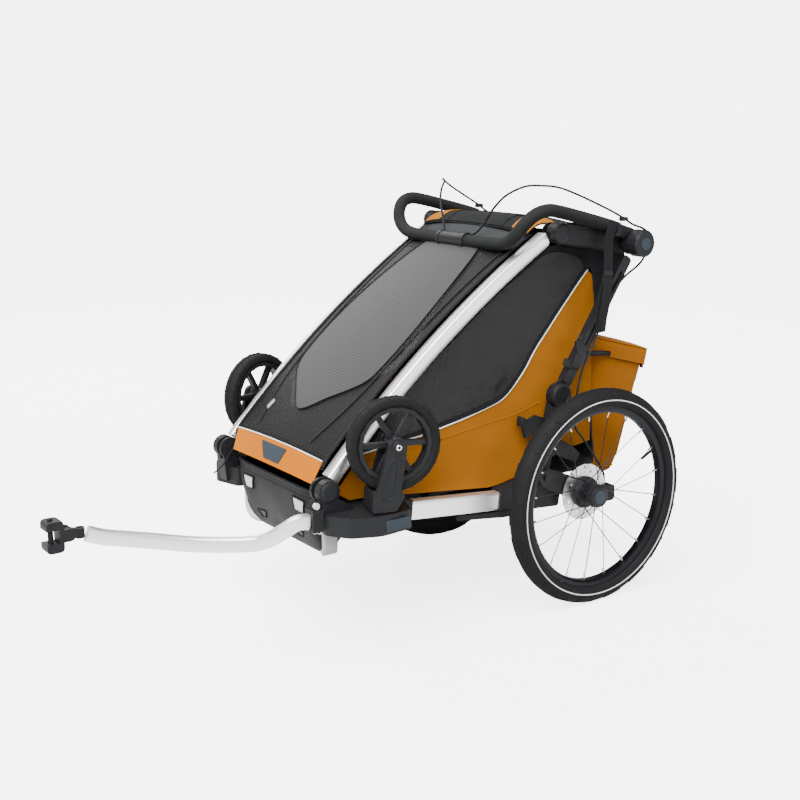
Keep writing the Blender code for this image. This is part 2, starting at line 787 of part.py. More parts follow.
# Upper arms: a fork round the tube's eye, the thick outer web, and the stub the handlebar turns on
def make_upper_arm():
    middle = (INNER_X + TUBE_OUTER_X) / 2
    inner = slab(link(TOP_PIVOT, TOP_EYE, BAR_PIVOT, BAR_EYE - 0.003), ARM_INNER_X, TUBE_OUTER_X)
    outer = slab(link(TOP_PIVOT, TOP_EYE - 0.0005, BAR_PIVOT, 0.0200), TUBE_OUTER_X - 0.001, ARM_OUTER_X)
    brow = [
        on_line(TOP_PIVOT, BAR_PIVOT, 0.010, 0.013), on_line(TOP_PIVOT, BAR_PIVOT, 0.160, 0.014),
        on_line(TOP_PIVOT, BAR_PIVOT, 0.140, 0.031), on_line(TOP_PIVOT, BAR_PIVOT, 0.030, 0.027),
    ]
    arm = union(inner, outer, slab(rounded(brow, 0.006), ARM_INNER_X + 0.001, TUBE_OUTER_X + 0.004))
    arm = cut(arm, drum(TOP_PIVOT, TOP_EYE + 0.0015, middle - EYE_HALF - GAP, middle + EYE_HALF + GAP))
    arm = union(arm, drum(TOP_PIVOT, PIN_RADIUS, ARM_INNER_X + 0.002, ARM_OUTER_X - 0.002, 12))
    arm = union(arm, drum(TOP_PIVOT, TOP_EYE + 0.0005, ARM_OUTER_X - 0.001, ARM_OUTER_X + 0.0045))
    return union(arm, drum(BAR_PIVOT, BAR_STUB, ARM_OUTER_X - 0.002, BAR_HUB_OUTER_X - 0.030, 16))


pair(make_upper_arm(), "upper_arm", plastic, (upper_frame, upper_frame))


# Rear posts: a thin eye at the rear pivot, then the full-width post up to under the handlebar hub
def make_rear_post():
    middle = (POST_INNER_X + POST_OUTER_X) / 2
    low, high = middle - POST_EYE_HALF, middle + POST_EYE_HALF
    span = (POST_TOP - REAR_PIVOT).length
    half = POST_WIDTH / 2
    outline = rounded(strip(REAR_PIVOT, POST_TOP, REAR_EYE + 0.002, span + 0.010, half), 0.008)
    post = slab(outline, POST_INNER_X, POST_OUTER_X)
    eye = link(REAR_PIVOT, REAR_EYE - 0.001, on_line(REAR_PIVOT, POST_TOP, REAR_EYE + 0.012), 0.8 * half)
    post = union(post, slab(eye, low, high))
    groove = strip(REAR_PIVOT, POST_TOP, REAR_EYE + 0.050, span - 0.030, 0.3 * half)
    post = cut(post, slab(groove, POST_OUTER_X - 0.004, POST_OUTER_X + 0.01))
    return cut(post, drum(REAR_PIVOT, PIN_RADIUS + PIN_PLAY, low - 0.01, high + 0.01, 16))


pair(make_rear_post(), "rear_post", (BLACK, 0.2, 0.45), (rear_posts, rear_posts))


# Rear castings: rail socket, lower post with the rear clevis, the suspension pin and the small wing plate
def make_rear_bracket():
    middle = (POST_INNER_X + POST_OUTER_X) / 2
    low, high = middle - POST_EYE_HALF - GAP, middle + POST_EYE_HALF + GAP
    foot = SUSPENSION_PIVOT + Vector((0.007, -0.008))
    inner = POST_INNER_X - 0.004
    wall = RAIL_HEIGHT / 2 + 0.004
    casting = [
        rail_point(rail_length, -wall), (-0.060, 0.222), (-0.052, 0.275), (-0.085, 0.300),
        (-0.135, 0.300), rail_point(rail_length, wall),
    ]
    body = slab(rounded(casting, 0.006), INNER_X, RAIL_OUTER_X + 0.004)
    body = union(body, slab(link(foot, 0.017, REAR_PIVOT, 0.018), inner, LOWER_POST_OUTER_X))
    full_end = (foot - REAR_PIVOT).length - 0.055
    full = strip(REAR_PIVOT, foot, REAR_EYE - 0.002, full_end, 0.0175)
    body = union(body, slab(full, LOWER_POST_OUTER_X - 0.002, POST_OUTER_X))
    for near, far in ((POST_INNER_X, low), (high, POST_OUTER_X + 0.004)):
        body = union(body, drum(REAR_PIVOT, REAR_EYE, near, far))
    body = cut(body, drum(REAR_PIVOT, REAR_EYE + 0.001, low, high))
    body = union(body, drum(REAR_PIVOT, PIN_RADIUS, POST_INNER_X + 0.001, POST_OUTER_X + 0.002, 12))
    pin_end = EYE_OUTER_X - 0.0045
    body = union(body, drum(SUSPENSION_PIVOT, PIN_RADIUS, LOWER_POST_OUTER_X - 0.002, pin_end, 12))
    plate = rounded([(0.198, -0.330), (0.240, -0.222), (0.236, -0.190), (0.198, -0.180)], 0.006)
    body = union(body, slab(plate, 0.226, 0.238, "Z"))
    hook = [
        (-0.170, 0.430), (-0.129, 0.444), (-0.078, 0.424), (-0.078, 0.406), (-0.126, 0.408), (-0.160, 0.395),
    ]
    lever = [(-0.090, 0.384), (0.008, 0.336), (-0.004, 0.314), (-0.085, 0.352)]
    return union(body, slab(hook, inner, inner + 0.008), slab(rounded(lever, 0.006), inner, inner + 0.007))


pair(make_rear_bracket(), "rear_bracket", plastic)
axle_cross = rod((-INNER_X + GAP, -0.100, 0.260), (INNER_X - GAP, -0.100, 0.260), 0.014, 14)
finish(axle_cross, "axle_cross_tube", (ALUMINIUM, 0.8, 0.35))


# Front hoop: a pale flat bar that hangs from both front castings and passes under the foot tub
def make_hoop():
    top = WING_BOTTOM - GAP
    path = [(HOOP_X, top), (HOOP_X, HOOP_BOTTOM), (-HOOP_X, HOOP_BOTTOM), (-HOOP_X, top)]
    band = ribbon(rounded(path, 0.036, 4, closed=False), HOOP_THICKNESS / 2)
    return slab(band, HOOP_Y - HOOP_DEPTH / 2, HOOP_Y + HOOP_DEPTH / 2, "Y")


finish(make_hoop(), "front_hoop", (PALE, 0.5, 0.4))


# Foot tub: an open moulded tub with a nose that bulges forward, between two side walls
def make_footwell():
    profile = [
        (-0.385, 0.262), (-0.440, 0.180), (-0.560, 0.172), (-0.622, 0.195), (-0.657, 0.256),
        (-0.668, 0.300), (-0.660, 0.352),
    ]
    bulges = (0.0, 0.002, 0.010, 0.022, 0.038, 0.030, 0.004)
    shell = cloth(profile, [TUB_HALF_WIDTH] * len(profile), bulges)
    wall, proud = 0.004, 0.0005
    middle = Vector((-0.540, 0.255))
    outline = [middle.lerp(Vector(point), 0.985) for point in [(-0.400, 0.272)] + profile]
    right = slab(outline, -TUB_HALF_WIDTH - proud, wall - TUB_HALF_WIDTH)
    left = slab(outline, TUB_HALF_WIDTH - wall, TUB_HALF_WIDTH + proud)
    return union(shell, right, left)


finish(make_footwell(), "footwell", (DARK_CLOTH, 0.0, 0.6))


# Tow socket on the left front casting, its release button, and the oval arm that leads to the hitch
def make_tow_socket():
    hood_back = WING_FRONT - 0.0085
    hood = [
        (SOCKET_LOW.y + 0.002, SOCKET_HIGH.z - 0.001), (hood_back, SOCKET_HIGH.z - 0.001),
        (hood_back, SOCKET_HIGH.z + 0.015), (SOCKET_LOW.y + 0.010, SOCKET_HIGH.z + 0.018),
    ]
    block = union(box(SOCKET_LOW, SOCKET_HIGH), slab(rounded(hood, 0.004), 0.210, 0.234))
    return cut(block, drum(TOW_BUTTON, TOW_BUTTON_RADIUS + 2 * GAP, 0.2265, 0.25, 16))


finish(make_tow_socket(), "tow_socket", plastic)
button_axis = axis_empty("axis_tow_button", (0.232, *TOW_BUTTON))
tow_button = drum(TOW_BUTTON, TOW_BUTTON_RADIUS, 0.2310, 0.2375, 16)
finish(tow_button, "tow_release_button", (PALE, 0.0, 0.4), button_axis)

arm_end = Vector(TOW_ARM[-1])
arm_way = (arm_end - Vector(TOW_ARM[-2])).normalized()
yaw_centre = arm_end + arm_way * YAW_REACH
yaw_axis = axis_empty("axis_hitch_yaw", yaw_centre)
pitch_axis = axis_empty("axis_hitch_pitch", HITCH_EYE, yaw_axis)


def make_tow_arm():
    arm = oval_bar(rounded(TOW_ARM, 0.02, 1, closed=False), TOW_WIDTH, TOW_HEIGHT)
    back = yaw_centre - arm_way * (YAW_REACH + 0.010)
    near, far = KNUCKLE_RADIUS - GAP / 2, 0.0150
    outline = link(yaw_centre.xy, 0.0095, back.xy, 0.0092, 12)
    for low, high in ((near, far), (-far, -near)):
        arm = union(arm, slab(outline, yaw_centre.z + low, yaw_centre.z + high, "Z"))
    pin_end = near + 0.002
    return union(arm, drum(yaw_centre.xy, YAW_PIN, yaw_centre.z - pin_end, yaw_centre.z + pin_end, 12, "Z"))


finish(make_tow_arm(), "tow_arm", (ALUMINIUM, 0.8, 0.35))


# Hitch: a knuckle that yaws on the end of the arm, and the clevis block that goes on the bicycle's axle
def make_knuckle():
    half = KNUCKLE_RADIUS - GAP
    barrel = drum(yaw_centre.xy, 0.0095, yaw_centre.z - half, yaw_centre.z + half, 16, "Z")
    bar = slab(
        link(yaw_centre.yz, 0.0065, HITCH_EYE.yz, KNUCKLE_RADIUS), HITCH_EYE.x - KNUCKLE_HALF,
        HITCH_EYE.x + KNUCKLE_HALF,
    )
    body = union(barrel, bar)
    hole = drum(yaw_centre.xy, YAW_PIN + PIN_PLAY, yaw_centre.z - 0.02, yaw_centre.z + 0.02, 14, "Z")
    pin_hole = drum(HITCH_EYE.yz, YAW_PIN + PIN_PLAY, HITCH_EYE.x - 0.01, HITCH_EYE.x + 0.01, 14)
    return cut(body, hole, pin_hole)


def make_clevis():
    x, y, z = HITCH_EYE
    back = y - 0.012
    half_x, half_z = HITCH_WIDTH / 2, HITCH_HEIGHT / 2
    outline = rectangle((HITCH_FRONT, z - half_z), (back, z + half_z))
    block = slab(rounded(outline, 0.008), x - half_x, x + half_x)
    inner = KNUCKLE_HALF + GAP
    for low, high in ((x - half_x, x - inner), (x + inner, x + half_x)):
        block = union(block, slab(link(HITCH_EYE.yz, 0.0125, (back - 0.004, z), 0.0120), low, high))
    block = union(block, rod((x - half_x + 0.002, y, z), (x + half_x - 0.002, y, z), YAW_PIN))
    throat_back = HITCH_FRONT + 0.026
    half_throat = HITCH_THROAT / 2
    throat = rectangle((HITCH_FRONT - 0.01, z - half_throat), (throat_back, z + half_throat))
    block = cut(block, slab(throat, x - 0.03, x + 0.03))
    bolt_y = HITCH_FRONT + 0.013
    reach = half_z + 0.004
    return union(block, rod((x, bolt_y, z - reach), (x, bolt_y, z + reach), 0.0055))


finish(make_knuckle(), "hitch_knuckle", (BLACK, 0.3, 0.45), yaw_axis)
finish(make_clevis(), "hitch_clevis", (BLACK, 0.2, 0.45), pitch_axis)

# Stroller wheels: a two-legged fork that swivels on the wing, toed in, with its spoked wheel and tyre
caster_place = Vector((STEM.x, STEM.y + CASTER_SETBACK, CASTER_Z))
caster_hub = Vector((caster_place.y, caster_place.z))
to_stem = Matrix.Translation((STEM.x, STEM.y, 0))
toe = to_stem @ Matrix.Rotation(-TOE_IN, 4, "Z") @ to_stem.inverted()
caster_axes = axis_pair("caster", toe @ caster_place, fork_axes)


def make_fork():
    outer = FORK_HALF_GAP + FORK_LEG
    low, high = STEM.x - outer, STEM.x + outer
    base = WING_TOP + GAP
    foot = [
        (STEM.y - 0.028, base + 0.004), (STEM.y + 0.024, base + 0.004), (STEM.y + 0.044, base + 0.036),
        (STEM.y + 0.030, base + 0.050), (STEM.y - 0.024, base + 0.050),
    ]
    step = 0.0008
    body = slab(rounded(foot, 0.006), low + step, high - step)
    body = union(body, slab(link((STEM.y + 0.006, base + 0.034), 0.026, caster_hub, 0.019), low, high))
    body = union(body, drum(STEM, 0.024, base, base + 0.006, 16, "Z"))
    room = CASTER_RADIUS + 0.004
    body = cut(body, drum(caster_hub, room, STEM.x - FORK_HALF_GAP, STEM.x + FORK_HALF_GAP, CASTER_STEPS))
    panel = link((STEM.y + 0.010, base + 0.052), 0.010, caster_hub - Vector((0.010, 0.040)), 0.009, 12)
    body = cut(body, slab(panel, high - 0.0015, high + 0.01))
    body = union(body, drum(caster_hub, CASTER_AXLE, low - 0.003, high + 0.003, 12))
    body = union(body, drum(STEM, STEM_RADIUS, WING_TOP - 0.024, base + 0.004, 16, "Z"))
    return moved(body, toe)


def make_caster_wheel():
    half = 0.014
    end = FORK_HALF_GAP - 0.001
    bore = CASTER_AXLE + PIN_PLAY
    barrel, inner = 0.016, CASTER_TREAD - 0.009
    wheel = lathe([(bore, -end), (barrel, -end), (barrel, end), (bore, end)], caster_place, 16)
    rim_profile = [(inner, -half), (CASTER_TREAD, -half), (CASTER_TREAD, half), (inner, half)]
    rim = lathe(rim_profile, caster_place, CASTER_STEPS)
    for k in range(CASTER_SPOKES):
        way = Vector((cos(2 * pi * k / CASTER_SPOKES), sin(2 * pi * k / CASTER_SPOKES)))
        bar = strip(caster_hub, caster_hub + way, barrel - 0.003, CASTER_TREAD - 0.004, 0.0055)
        wheel = union(wheel, slab(bar, caster_place.x - 0.0065, caster_place.x + 0.0065))
    return moved(union(wheel, rim), toe)


def make_caster_tyre():
    inner = CASTER_TREAD + 2 * GAP
    middle = CASTER_RADIUS - CASTER_SECTION
    profile = [(inner, -0.013)]
    arc = 6
    for k in range(arc + 1):
        angle = radians(80) * (2 * k / arc - 1)
        profile.append((middle + CASTER_SECTION * cos(angle), CASTER_SECTION * sin(angle)))
    profile.append((inner, 0.013))
    return moved(lathe(profile, caster_place, CASTER_STEPS), toe)


pair(make_fork(), "fork", plastic, fork_axes)
pair(make_caster_wheel(), "caster_wheel", plastic, caster_axes)
pair(make_caster_tyre(), "caster_tyre", rubber, caster_axes)

# Handlebar: index rings and hub barrels on the arms, the foam-covered loop between them, and the twist grip
collar_way = (BAR_FIRST_BEND - BAR_COLLAR).normalized()


def make_bar_hub():
    floor = BAR_HUB_OUTER_X - 0.011
    recess = 0.0155
    bore = BAR_STUB + 0.001
    bevel = 0.004
    inboard = BAR_EYE - 0.003
    profile = [
        (bore, BAR_HUB_INNER_X), (inboard, BAR_HUB_INNER_X), (inboard, BAR_HUB_INNER_X + 0.018),
        (BAR_EYE, BAR_HUB_INNER_X + 0.020), (BAR_EYE, BAR_HUB_OUTER_X - bevel),
        (BAR_EYE - bevel, BAR_HUB_OUTER_X), (recess, BAR_HUB_OUTER_X), (recess, floor), (bore, floor),
    ]
    hub = lathe(profile, (0, *BAR_PIVOT), 16)
    start = BAR_COLLAR - collar_way * 0.055
    ring_start = BAR_COLLAR - collar_way * 0.010
    hub = union(hub, rod((BAR_X, *start), (BAR_X, *BAR_COLLAR), BAR_RADIUS + 0.0005))
    hub = union(hub, rod((BAR_X, *ring_start), (BAR_X, *BAR_COLLAR), BAR_RADIUS + 0.003))
    hub = cut(hub, box((0.2, -0.2, 0.5), (ARM_OUTER_X + 0.0015, 0.3, 1.0)))
    hub = cut(hub, drum(BAR_PIVOT, BAR_RING_RADIUS + 0.001, ARM_OUTER_X, BAR_HUB_INNER_X - GAP))
    return cut(hub, drum(BAR_PIVOT, bore, BAR_HUB_INNER_X - 0.01, floor + 0.001, 16))


def make_handlebar():
    start = BAR_COLLAR + collar_way * 2 * GAP
    half = [
        (BAR_X, *start), (BAR_X, *BAR_FIRST_BEND), (BAR_X, -0.060, 0.888), (BAR_X - 0.001, -0.128, 0.893),
        (BAR_X - 0.030, CROSS_BAR.x + 0.004, CROSS_BAR.y + 0.016), (BAR_X - 0.075, *CROSS_BAR),
    ]
    loop = half + [(-x, y, z) for x, y, z in reversed(half)]
    return tube(rounded(loop, 0.040, 2, closed=False), BAR_RADIUS, 2)


def make_grip():
    inner = BAR_RADIUS + 3 * GAP
    lip = 0.003
    end = GRIP_HALF_LENGTH
    profile = [
        (inner, -end), (GRIP_RADIUS - 0.001, -end), (GRIP_RADIUS, lip - end), (GRIP_RADIUS, end - lip),
        (GRIP_RADIUS - 0.001, end), (inner, end),
    ]
    return lathe(profile, (0, *CROSS_BAR), 16)


def make_bar_ring():
    ring = drum(BAR_PIVOT, BAR_RING_RADIUS, ARM_OUTER_X + GAP, BAR_HUB_INNER_X - 2 * GAP)
    return cut(ring, drum(BAR_PIVOT, BAR_STUB + PIN_PLAY, ARM_OUTER_X - 0.01, BAR_HUB_INNER_X + 0.01))


bar_axes = (bar_axis, bar_axis)
pair(make_bar_ring(), "bar_ring", plastic, (ring_axis, ring_axis))
pair(make_bar_hub(), "bar_hub", plastic, bar_axes)
bar_button = drum(BAR_PIVOT, 0.0148, BAR_HUB_OUTER_X - 0.0062, BAR_HUB_OUTER_X + 0.001)
pair(bar_button, "bar_button", button_plastic, bar_axes)
finish(make_handlebar(), "handlebar", (SOFT_BLACK, 0.0, 0.85), bar_axis)
finish(make_grip(), "brake_grip", plastic, grip_axis)


# Brake cables: the upper ones loop from the grip to the hubs, the lower ones run down to the calipers
def make_upper_cable():
    route = [
        (0.053, -0.177, 0.8363), (0.064, -0.170, 0.845), (0.078, -0.162, 0.864), (0.091, -0.157, 0.885),
        (0.105, -0.150, 0.905), (0.123, -0.134, 0.928), (0.149, -0.106, 0.946), (0.180, -0.086, 0.949),
        (0.214, -0.060, 0.945), (0.238, -0.017, 0.926), (0.253, 0.035, 0.902), (0.259, 0.062, 0.889),
        (0.263, 0.090, 0.8745), (0.268, 0.114, 0.860), (0.275, 0.1369, 0.8512), (0.279, 0.1535, 0.8385),
        (0.280, 0.1599, 0.8210),
    ]
    return tube(smooth(route, CABLE_SPACING), CABLE_RADIUS)


def make_lower_cable():
    caliper_top = CALIPER_HIGH.z + 0.0006
    route = [
        (0.2540, 0.1508, 0.7993), (0.2520, 0.1660, 0.790), (0.2500, 0.1685, 0.778), (0.2500, 0.150, 0.762),
        (0.2500, 0.114, 0.742), (0.2500, 0.088, 0.720), (0.2495, 0.066, 0.684), (0.2495, 0.044, 0.640),
        (0.2495, 0.018, 0.590), (0.2495, -0.010, 0.540), (0.2510, -0.026, 0.490), (0.2480, -0.028, 0.445),
        (0.2400, -0.020, 0.404), (0.2360, 0.005, 0.376), (0.2355, 0.035, 0.338), (0.2355, 0.063, 0.302),
        (0.2355, 0.078, 0.276), (0.2355, 0.0805, caliper_top),
    ]
    return tube(smooth(route, CABLE_SPACING), CABLE_RADIUS)


pair(make_upper_cable(), "brake_cable", (RUBBER, 0.0, 0.6), bar_axes)
pair(make_lower_cable(), "brake_cable_lower", (RUBBER, 0.0, 0.6))


# Wrist strap: a webbing band that hangs flat against the side, from the left collar to its hand loop
def make_strap():
    down = Vector((-collar_way.y, collar_way.x))
    top = BAR_COLLAR - collar_way * 0.008 + down * (BAR_RADIUS + 0.0036)
    path = [top, top + down * 0.012]
    path += [(0.062, 0.790), (0.058, 0.760), (0.050, 0.700), (0.044, 0.640), (0.046, 0.612)]
    band = ribbon(path, STRAP_WIDTH / 2)
    return slab(band, BAR_X - STRAP_THICKNESS / 2, BAR_X + STRAP_THICKNESS / 2)


finish(make_strap(), "wrist_strap", (SOFT_BLACK, 0.0, 0.8), bar_axis)

# Cabin: seat, side panels, front cover with its lower strip, roof, back panel, and the bag behind it
seat = cushion(Vector((-0.398, 0.2895)), Vector((-0.146, 0.2910)), INNER_X - GAP, SEAT_THICKNESS, 3)
finish(seat, "seat_pad", dark_cloth)
rest = cushion(Vector((0.044, 0.760)), Vector((-0.128, 0.330)), SIDE_PANEL_X - GAP, BACK_THICKNESS, 4)
finish(rest, "seat_back", dark_cloth)


def make_side_panel():
    below = -TUBE_DEPTH / 2 - 2 * GAP
    outline = [
        on_line(FRONT_PIVOT, TOP_PIVOT, 0.040, below), on_line(FRONT_PIVOT, TOP_PIVOT, 0.720, below),
        on_line(TOP_PIVOT, BAR_PIVOT, 0.030, -0.030), on_line(TOP_PIVOT, BAR_PIVOT, 0.165, -0.040),
        on_line(REAR_PIVOT, POST_TOP, 0.100, -0.006), on_line(REAR_PIVOT, POST_TOP, 0.0, -0.010),
        (-0.090, 0.312), rail_point(rail_length, RAIL_HEIGHT / 2 + 0.008),
        rail_point(0.0, RAIL_HEIGHT / 2 + 0.006), (WING_REAR + 0.005, WING_TOP + 0.005),
        (FRONT_PIVOT.x + 0.075, WING_TOP + 0.008),
    ]
    return slab(rounded(outline, 0.014), SIDE_PANEL_X, SIDE_PANEL_X + FABRIC)


def make_cover():
    rows = 6
    lift = 0.010
    path = [(-0.679, 0.3600), (-0.652, 0.402)]
    path += [on_line(FRONT_PIVOT, TOP_PIVOT, 0.045 + 0.655 * k / rows, lift) for k in range(1, rows + 1)]
    rises = [0.012, 0.014] + [0.018 - 0.010 * k / rows for k in range(1, rows + 1)]
    return cloth(path, [INNER_X - GAP] * len(path), rises)


def make_roof():
    rows = 4
    path = []
    for k in range(rows + 1):
        path.append(on_line(TOP_PIVOT, BAR_PIVOT, -0.034 + 0.215 * k / rows, 0.020 - 0.005 * abs(k - 2)))
    narrow, wide = INNER_X - GAP, ARM_INNER_X - GAP
    return cloth(path, [narrow, narrow, wide, wide, wide], [0.014] * (rows + 1))


pair(make_side_panel(), "side_panel", amber_cloth)
finish(make_cover(), "front_cover", dark_cloth, front_frame)
finish(make_roof(), "roof", dark_cloth, upper_frame)


def make_liner():
    """One cloth: the cabin's floor behind the tub, then its back up the front of the bag to the roof."""
    path = [
        (-0.3847, 0.2665), (-0.140, 0.2690), (-0.110, 0.2840), (0.0580, 0.2840), (0.0837, 0.2950),
        (0.0702, 0.535), (0.0640, 0.564), (0.0704, 0.600), (0.100, 0.780),
    ]
    floor, back = INNER_X - GAP, SIDE_PANEL_X - GAP
    return cloth(path, [floor] * 5 + [BAG_HALF_HIGH] * 3 + [back], [0] * len(path), 2)


finish(make_liner(), "cabin_liner", dark_cloth)


def make_bag():
    """A tapering box with a slight belly and bevelled edges."""
    bm = bmesh.new()
    bmesh.ops.create_cube(bm, size=2)
    ring_cuts(bm, 2, 1)
    belly = 0.008
    for vert in bm.verts:
        across, back, up = vert.co
        rise = (up + 1) / 2
        front = BAG_FRONT_LOW.lerp(BAG_FRONT_HIGH, rise)
        rear = BAG_REAR_LOW.lerp(BAG_REAR_HIGH, rise)
        bulge = belly * (1 - up**2)
        place = rear + Vector((bulge, 0)) if back > 0 else front
        half = BAG_HALF_LOW + (BAG_HALF_HIGH - BAG_HALF_LOW) * rise + bulge
        vert.co = (across * half, place.x, place.y)
    obj = from_bmesh("bag", bm)
    bevel = obj.modifiers.new("Bevel", "BEVEL")
    bevel.width = 0.018
    bevel.segments = 2
    bevel.limit_method = "ANGLE"
    return bake(obj)


finish(make_bag(), "cargo_bag", amber_cloth)
lid_slope = (BAG_REAR_HIGH - BAG_FRONT_HIGH).normalized()
lid_normal = Vector((-lid_slope.y, lid_slope.x))
lid_corner = BAG_FRONT_HIGH + lid_normal * 2 * GAP - lid_slope * 0.004
lid_hinge = lid_corner + lid_normal * LID_THICKNESS
lid_axis = axis_empty("axis_bag_lid", (0, *lid_hinge))


def make_lid():
    length = 0.204
    half = BAG_HALF_HIGH + 0.004
    outline = rounded(rectangle((-half, 0), (half, length)), 0.026)
    turn = Matrix.Rotation(atan2(lid_slope.y, lid_slope.x), 4, "X")
    return moved(slab(outline, 0, LID_THICKNESS, "Z"), Matrix.Translation((0, *lid_corner)) @ turn)


finish(make_lid(), "bag_lid", amber_cloth, lid_axis)

bpy.data.collections.remove(cutters)
bpy.context.view_layer.update()
corners = [obj.matrix_world @ Vector(corner) for obj in pieces.objects for corner in obj.bound_box]
trailer.location.y = -(min(corner.y for corner in corners) + max(corner.y for corner in corners)) / 2
bpy.context.view_layer.update()
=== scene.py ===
from math import ceil, cos, pi, radians, sin, sqrt
import json

import bmesh
import bpy
from mathutils import Matrix, Vector
from mathutils.geometry import delaunay_2d_cdt

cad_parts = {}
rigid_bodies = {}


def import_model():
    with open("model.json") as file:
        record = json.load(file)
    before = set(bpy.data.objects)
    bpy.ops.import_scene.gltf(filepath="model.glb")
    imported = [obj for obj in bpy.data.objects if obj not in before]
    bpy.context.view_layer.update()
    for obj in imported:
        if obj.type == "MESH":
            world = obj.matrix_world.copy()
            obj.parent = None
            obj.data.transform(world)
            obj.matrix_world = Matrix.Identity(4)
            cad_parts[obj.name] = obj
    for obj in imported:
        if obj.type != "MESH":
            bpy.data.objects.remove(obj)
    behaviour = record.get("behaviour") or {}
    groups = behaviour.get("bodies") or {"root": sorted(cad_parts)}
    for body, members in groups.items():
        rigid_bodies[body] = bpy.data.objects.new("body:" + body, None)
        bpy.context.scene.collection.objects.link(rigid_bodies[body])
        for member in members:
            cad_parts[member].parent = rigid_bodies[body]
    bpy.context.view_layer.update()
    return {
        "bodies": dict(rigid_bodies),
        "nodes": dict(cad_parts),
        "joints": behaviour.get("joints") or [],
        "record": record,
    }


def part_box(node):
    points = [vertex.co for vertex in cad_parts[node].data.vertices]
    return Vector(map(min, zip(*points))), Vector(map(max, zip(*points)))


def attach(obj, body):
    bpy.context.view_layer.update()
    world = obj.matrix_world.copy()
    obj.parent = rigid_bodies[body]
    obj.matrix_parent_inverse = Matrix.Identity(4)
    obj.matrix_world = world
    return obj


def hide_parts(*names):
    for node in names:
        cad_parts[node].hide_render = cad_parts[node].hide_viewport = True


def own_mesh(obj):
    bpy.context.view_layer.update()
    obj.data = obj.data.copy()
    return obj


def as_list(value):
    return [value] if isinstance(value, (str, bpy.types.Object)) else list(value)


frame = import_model()
nodes = frame["nodes"]

# Places along the trailer are measured from the big wheels' axle, and at() turns them into the frame's own
rimLow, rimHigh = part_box("rim_left")
axleAlong = (rimLow.y + rimHigh.y) / 2


def at(across, along, up):
    return Vector((across, along + axleAlong, up))


# Camera, set to the photograph's viewing angle
photoView = {
    "place": (2.3304, -1.9537, 1.1058), "ahead": (-0.7988, 0.5667, -0.2020), "lens": 57.28,
    "shiftX": -0.0178, "shiftY": -0.0305,
}


def addCamera():
    camera = bpy.data.cameras.new("photoCamera")
    holder = bpy.data.objects.new("photoCamera", camera)
    bpy.context.scene.collection.objects.link(holder)
    camera.lens = photoView["lens"]
    camera.sensor_width = 36
    camera.shift_x = photoView["shiftX"]
    camera.shift_y = photoView["shiftY"]
    camera.clip_start, camera.clip_end = 0.05, 100
    holder.location = at(*photoView["place"])
    holder.rotation_euler = Vector(photoView["ahead"]).to_track_quat("-Z", "Y").to_euler()
    bpy.context.scene.camera = holder


# Studio: one very wide soft light overhead, two soft boxes and a strip behind. The white backdrop and floor
# show their full brightness to the camera only, so that they don't wash out the dark parts
studio = {
    "backdrop": 6.0, "sky": 0.34, "floorLight": "#F6F6F5", "floorDark": "#7C7C7B", "floorGlow": 3.6,
    "floorRadius": 40.0, "overhead": {"strength": 8.6, "spread": 62, "from": (0.36, -0.62, 1.0)},
    "lights": [
        {"name": "keyLight", "place": (2.6, -2.4, 2.6), "aim": (0.0, -0.2, 0.4), "size": 1.6, "power": 26},
        {"name": "fillLight", "place": (3.8, 1.0, 1.4), "aim": (0.2, 0.0, 0.4), "size": 1.8, "power": 30},
        {"name": "backLight", "place": (-3.2, -0.3, 2.9), "aim": (0.0, 0.0, 0.6), "size": 2.6, "power": 110},
    ],
}


def toLinear(hexColor):
    channels = [int(hexColor[i:i + 2], 16) / 255 for i in (1, 3, 5)]
    return (*[c / 12.92 if c <= 0.04045 else ((c + 0.055) / 1.055) ** 2.4 for c in channels], 1.0)


def deselectAll():
    bpy.ops.object.select_all(action="DESELECT")


# A socket is called by its name or its number. A mix node takes numbers at 2 and 3 and gives one at 0, and
# takes colours at 6 and 7 and gives one at 2
def addNode(tree, kind, settings=None, links=None):
    node = tree.nodes.new(kind)
    for key, value in (settings or {}).items():
        if isinstance(key, int) or key in node.inputs:
            node.inputs[key].default_value = value
        else:
            setattr(node, key, value)
    for key, socket in (links or {}).items():
        tree.links.new(socket, node.inputs[key])
    return node


def addStudio():
    world = bpy.context.scene.world or bpy.data.worlds.new("studioSky")
    bpy.context.scene.world = world
    world.use_nodes = True
    sky = next(node for node in world.node_tree.nodes if node.type == "BACKGROUND")
    seen = addNode(world.node_tree, "ShaderNodeLightPath")
    strength = addNode(
        world.node_tree, "ShaderNodeMapRange", {"To Min": studio["sky"], "To Max": studio["backdrop"]},
        {"Value": seen.outputs["Is Camera Ray"]},
    )
    sky.inputs["Color"].default_value = toLinear("#FFFFFF")
    world.node_tree.links.new(strength.outputs["Result"], sky.inputs["Strength"])
    overhead = bpy.data.lights.new("overheadLight", "SUN")
    overhead.energy = studio["overhead"]["strength"]
    overhead.angle = radians(studio["overhead"]["spread"])
    holder = bpy.data.objects.new("overheadLight", overhead)
    bpy.context.scene.collection.objects.link(holder)
    holder.rotation_euler = Vector(studio["overhead"]["from"]).to_track_quat("Z", "Y").to_euler()
    for row in studio["lights"]:
        light = bpy.data.lights.new(row["name"], "AREA")
        light.shape = "DISK"
        light.size = row["size"]
        light.energy = row["power"]
        holder = bpy.data.objects.new(row["name"], light)
        bpy.context.scene.collection.objects.link(holder)
        holder.location = at(*row["place"])
        aim = at(*row["aim"]) - holder.location
        holder.rotation_euler = aim.to_track_quat("-Z", "Y").to_euler()


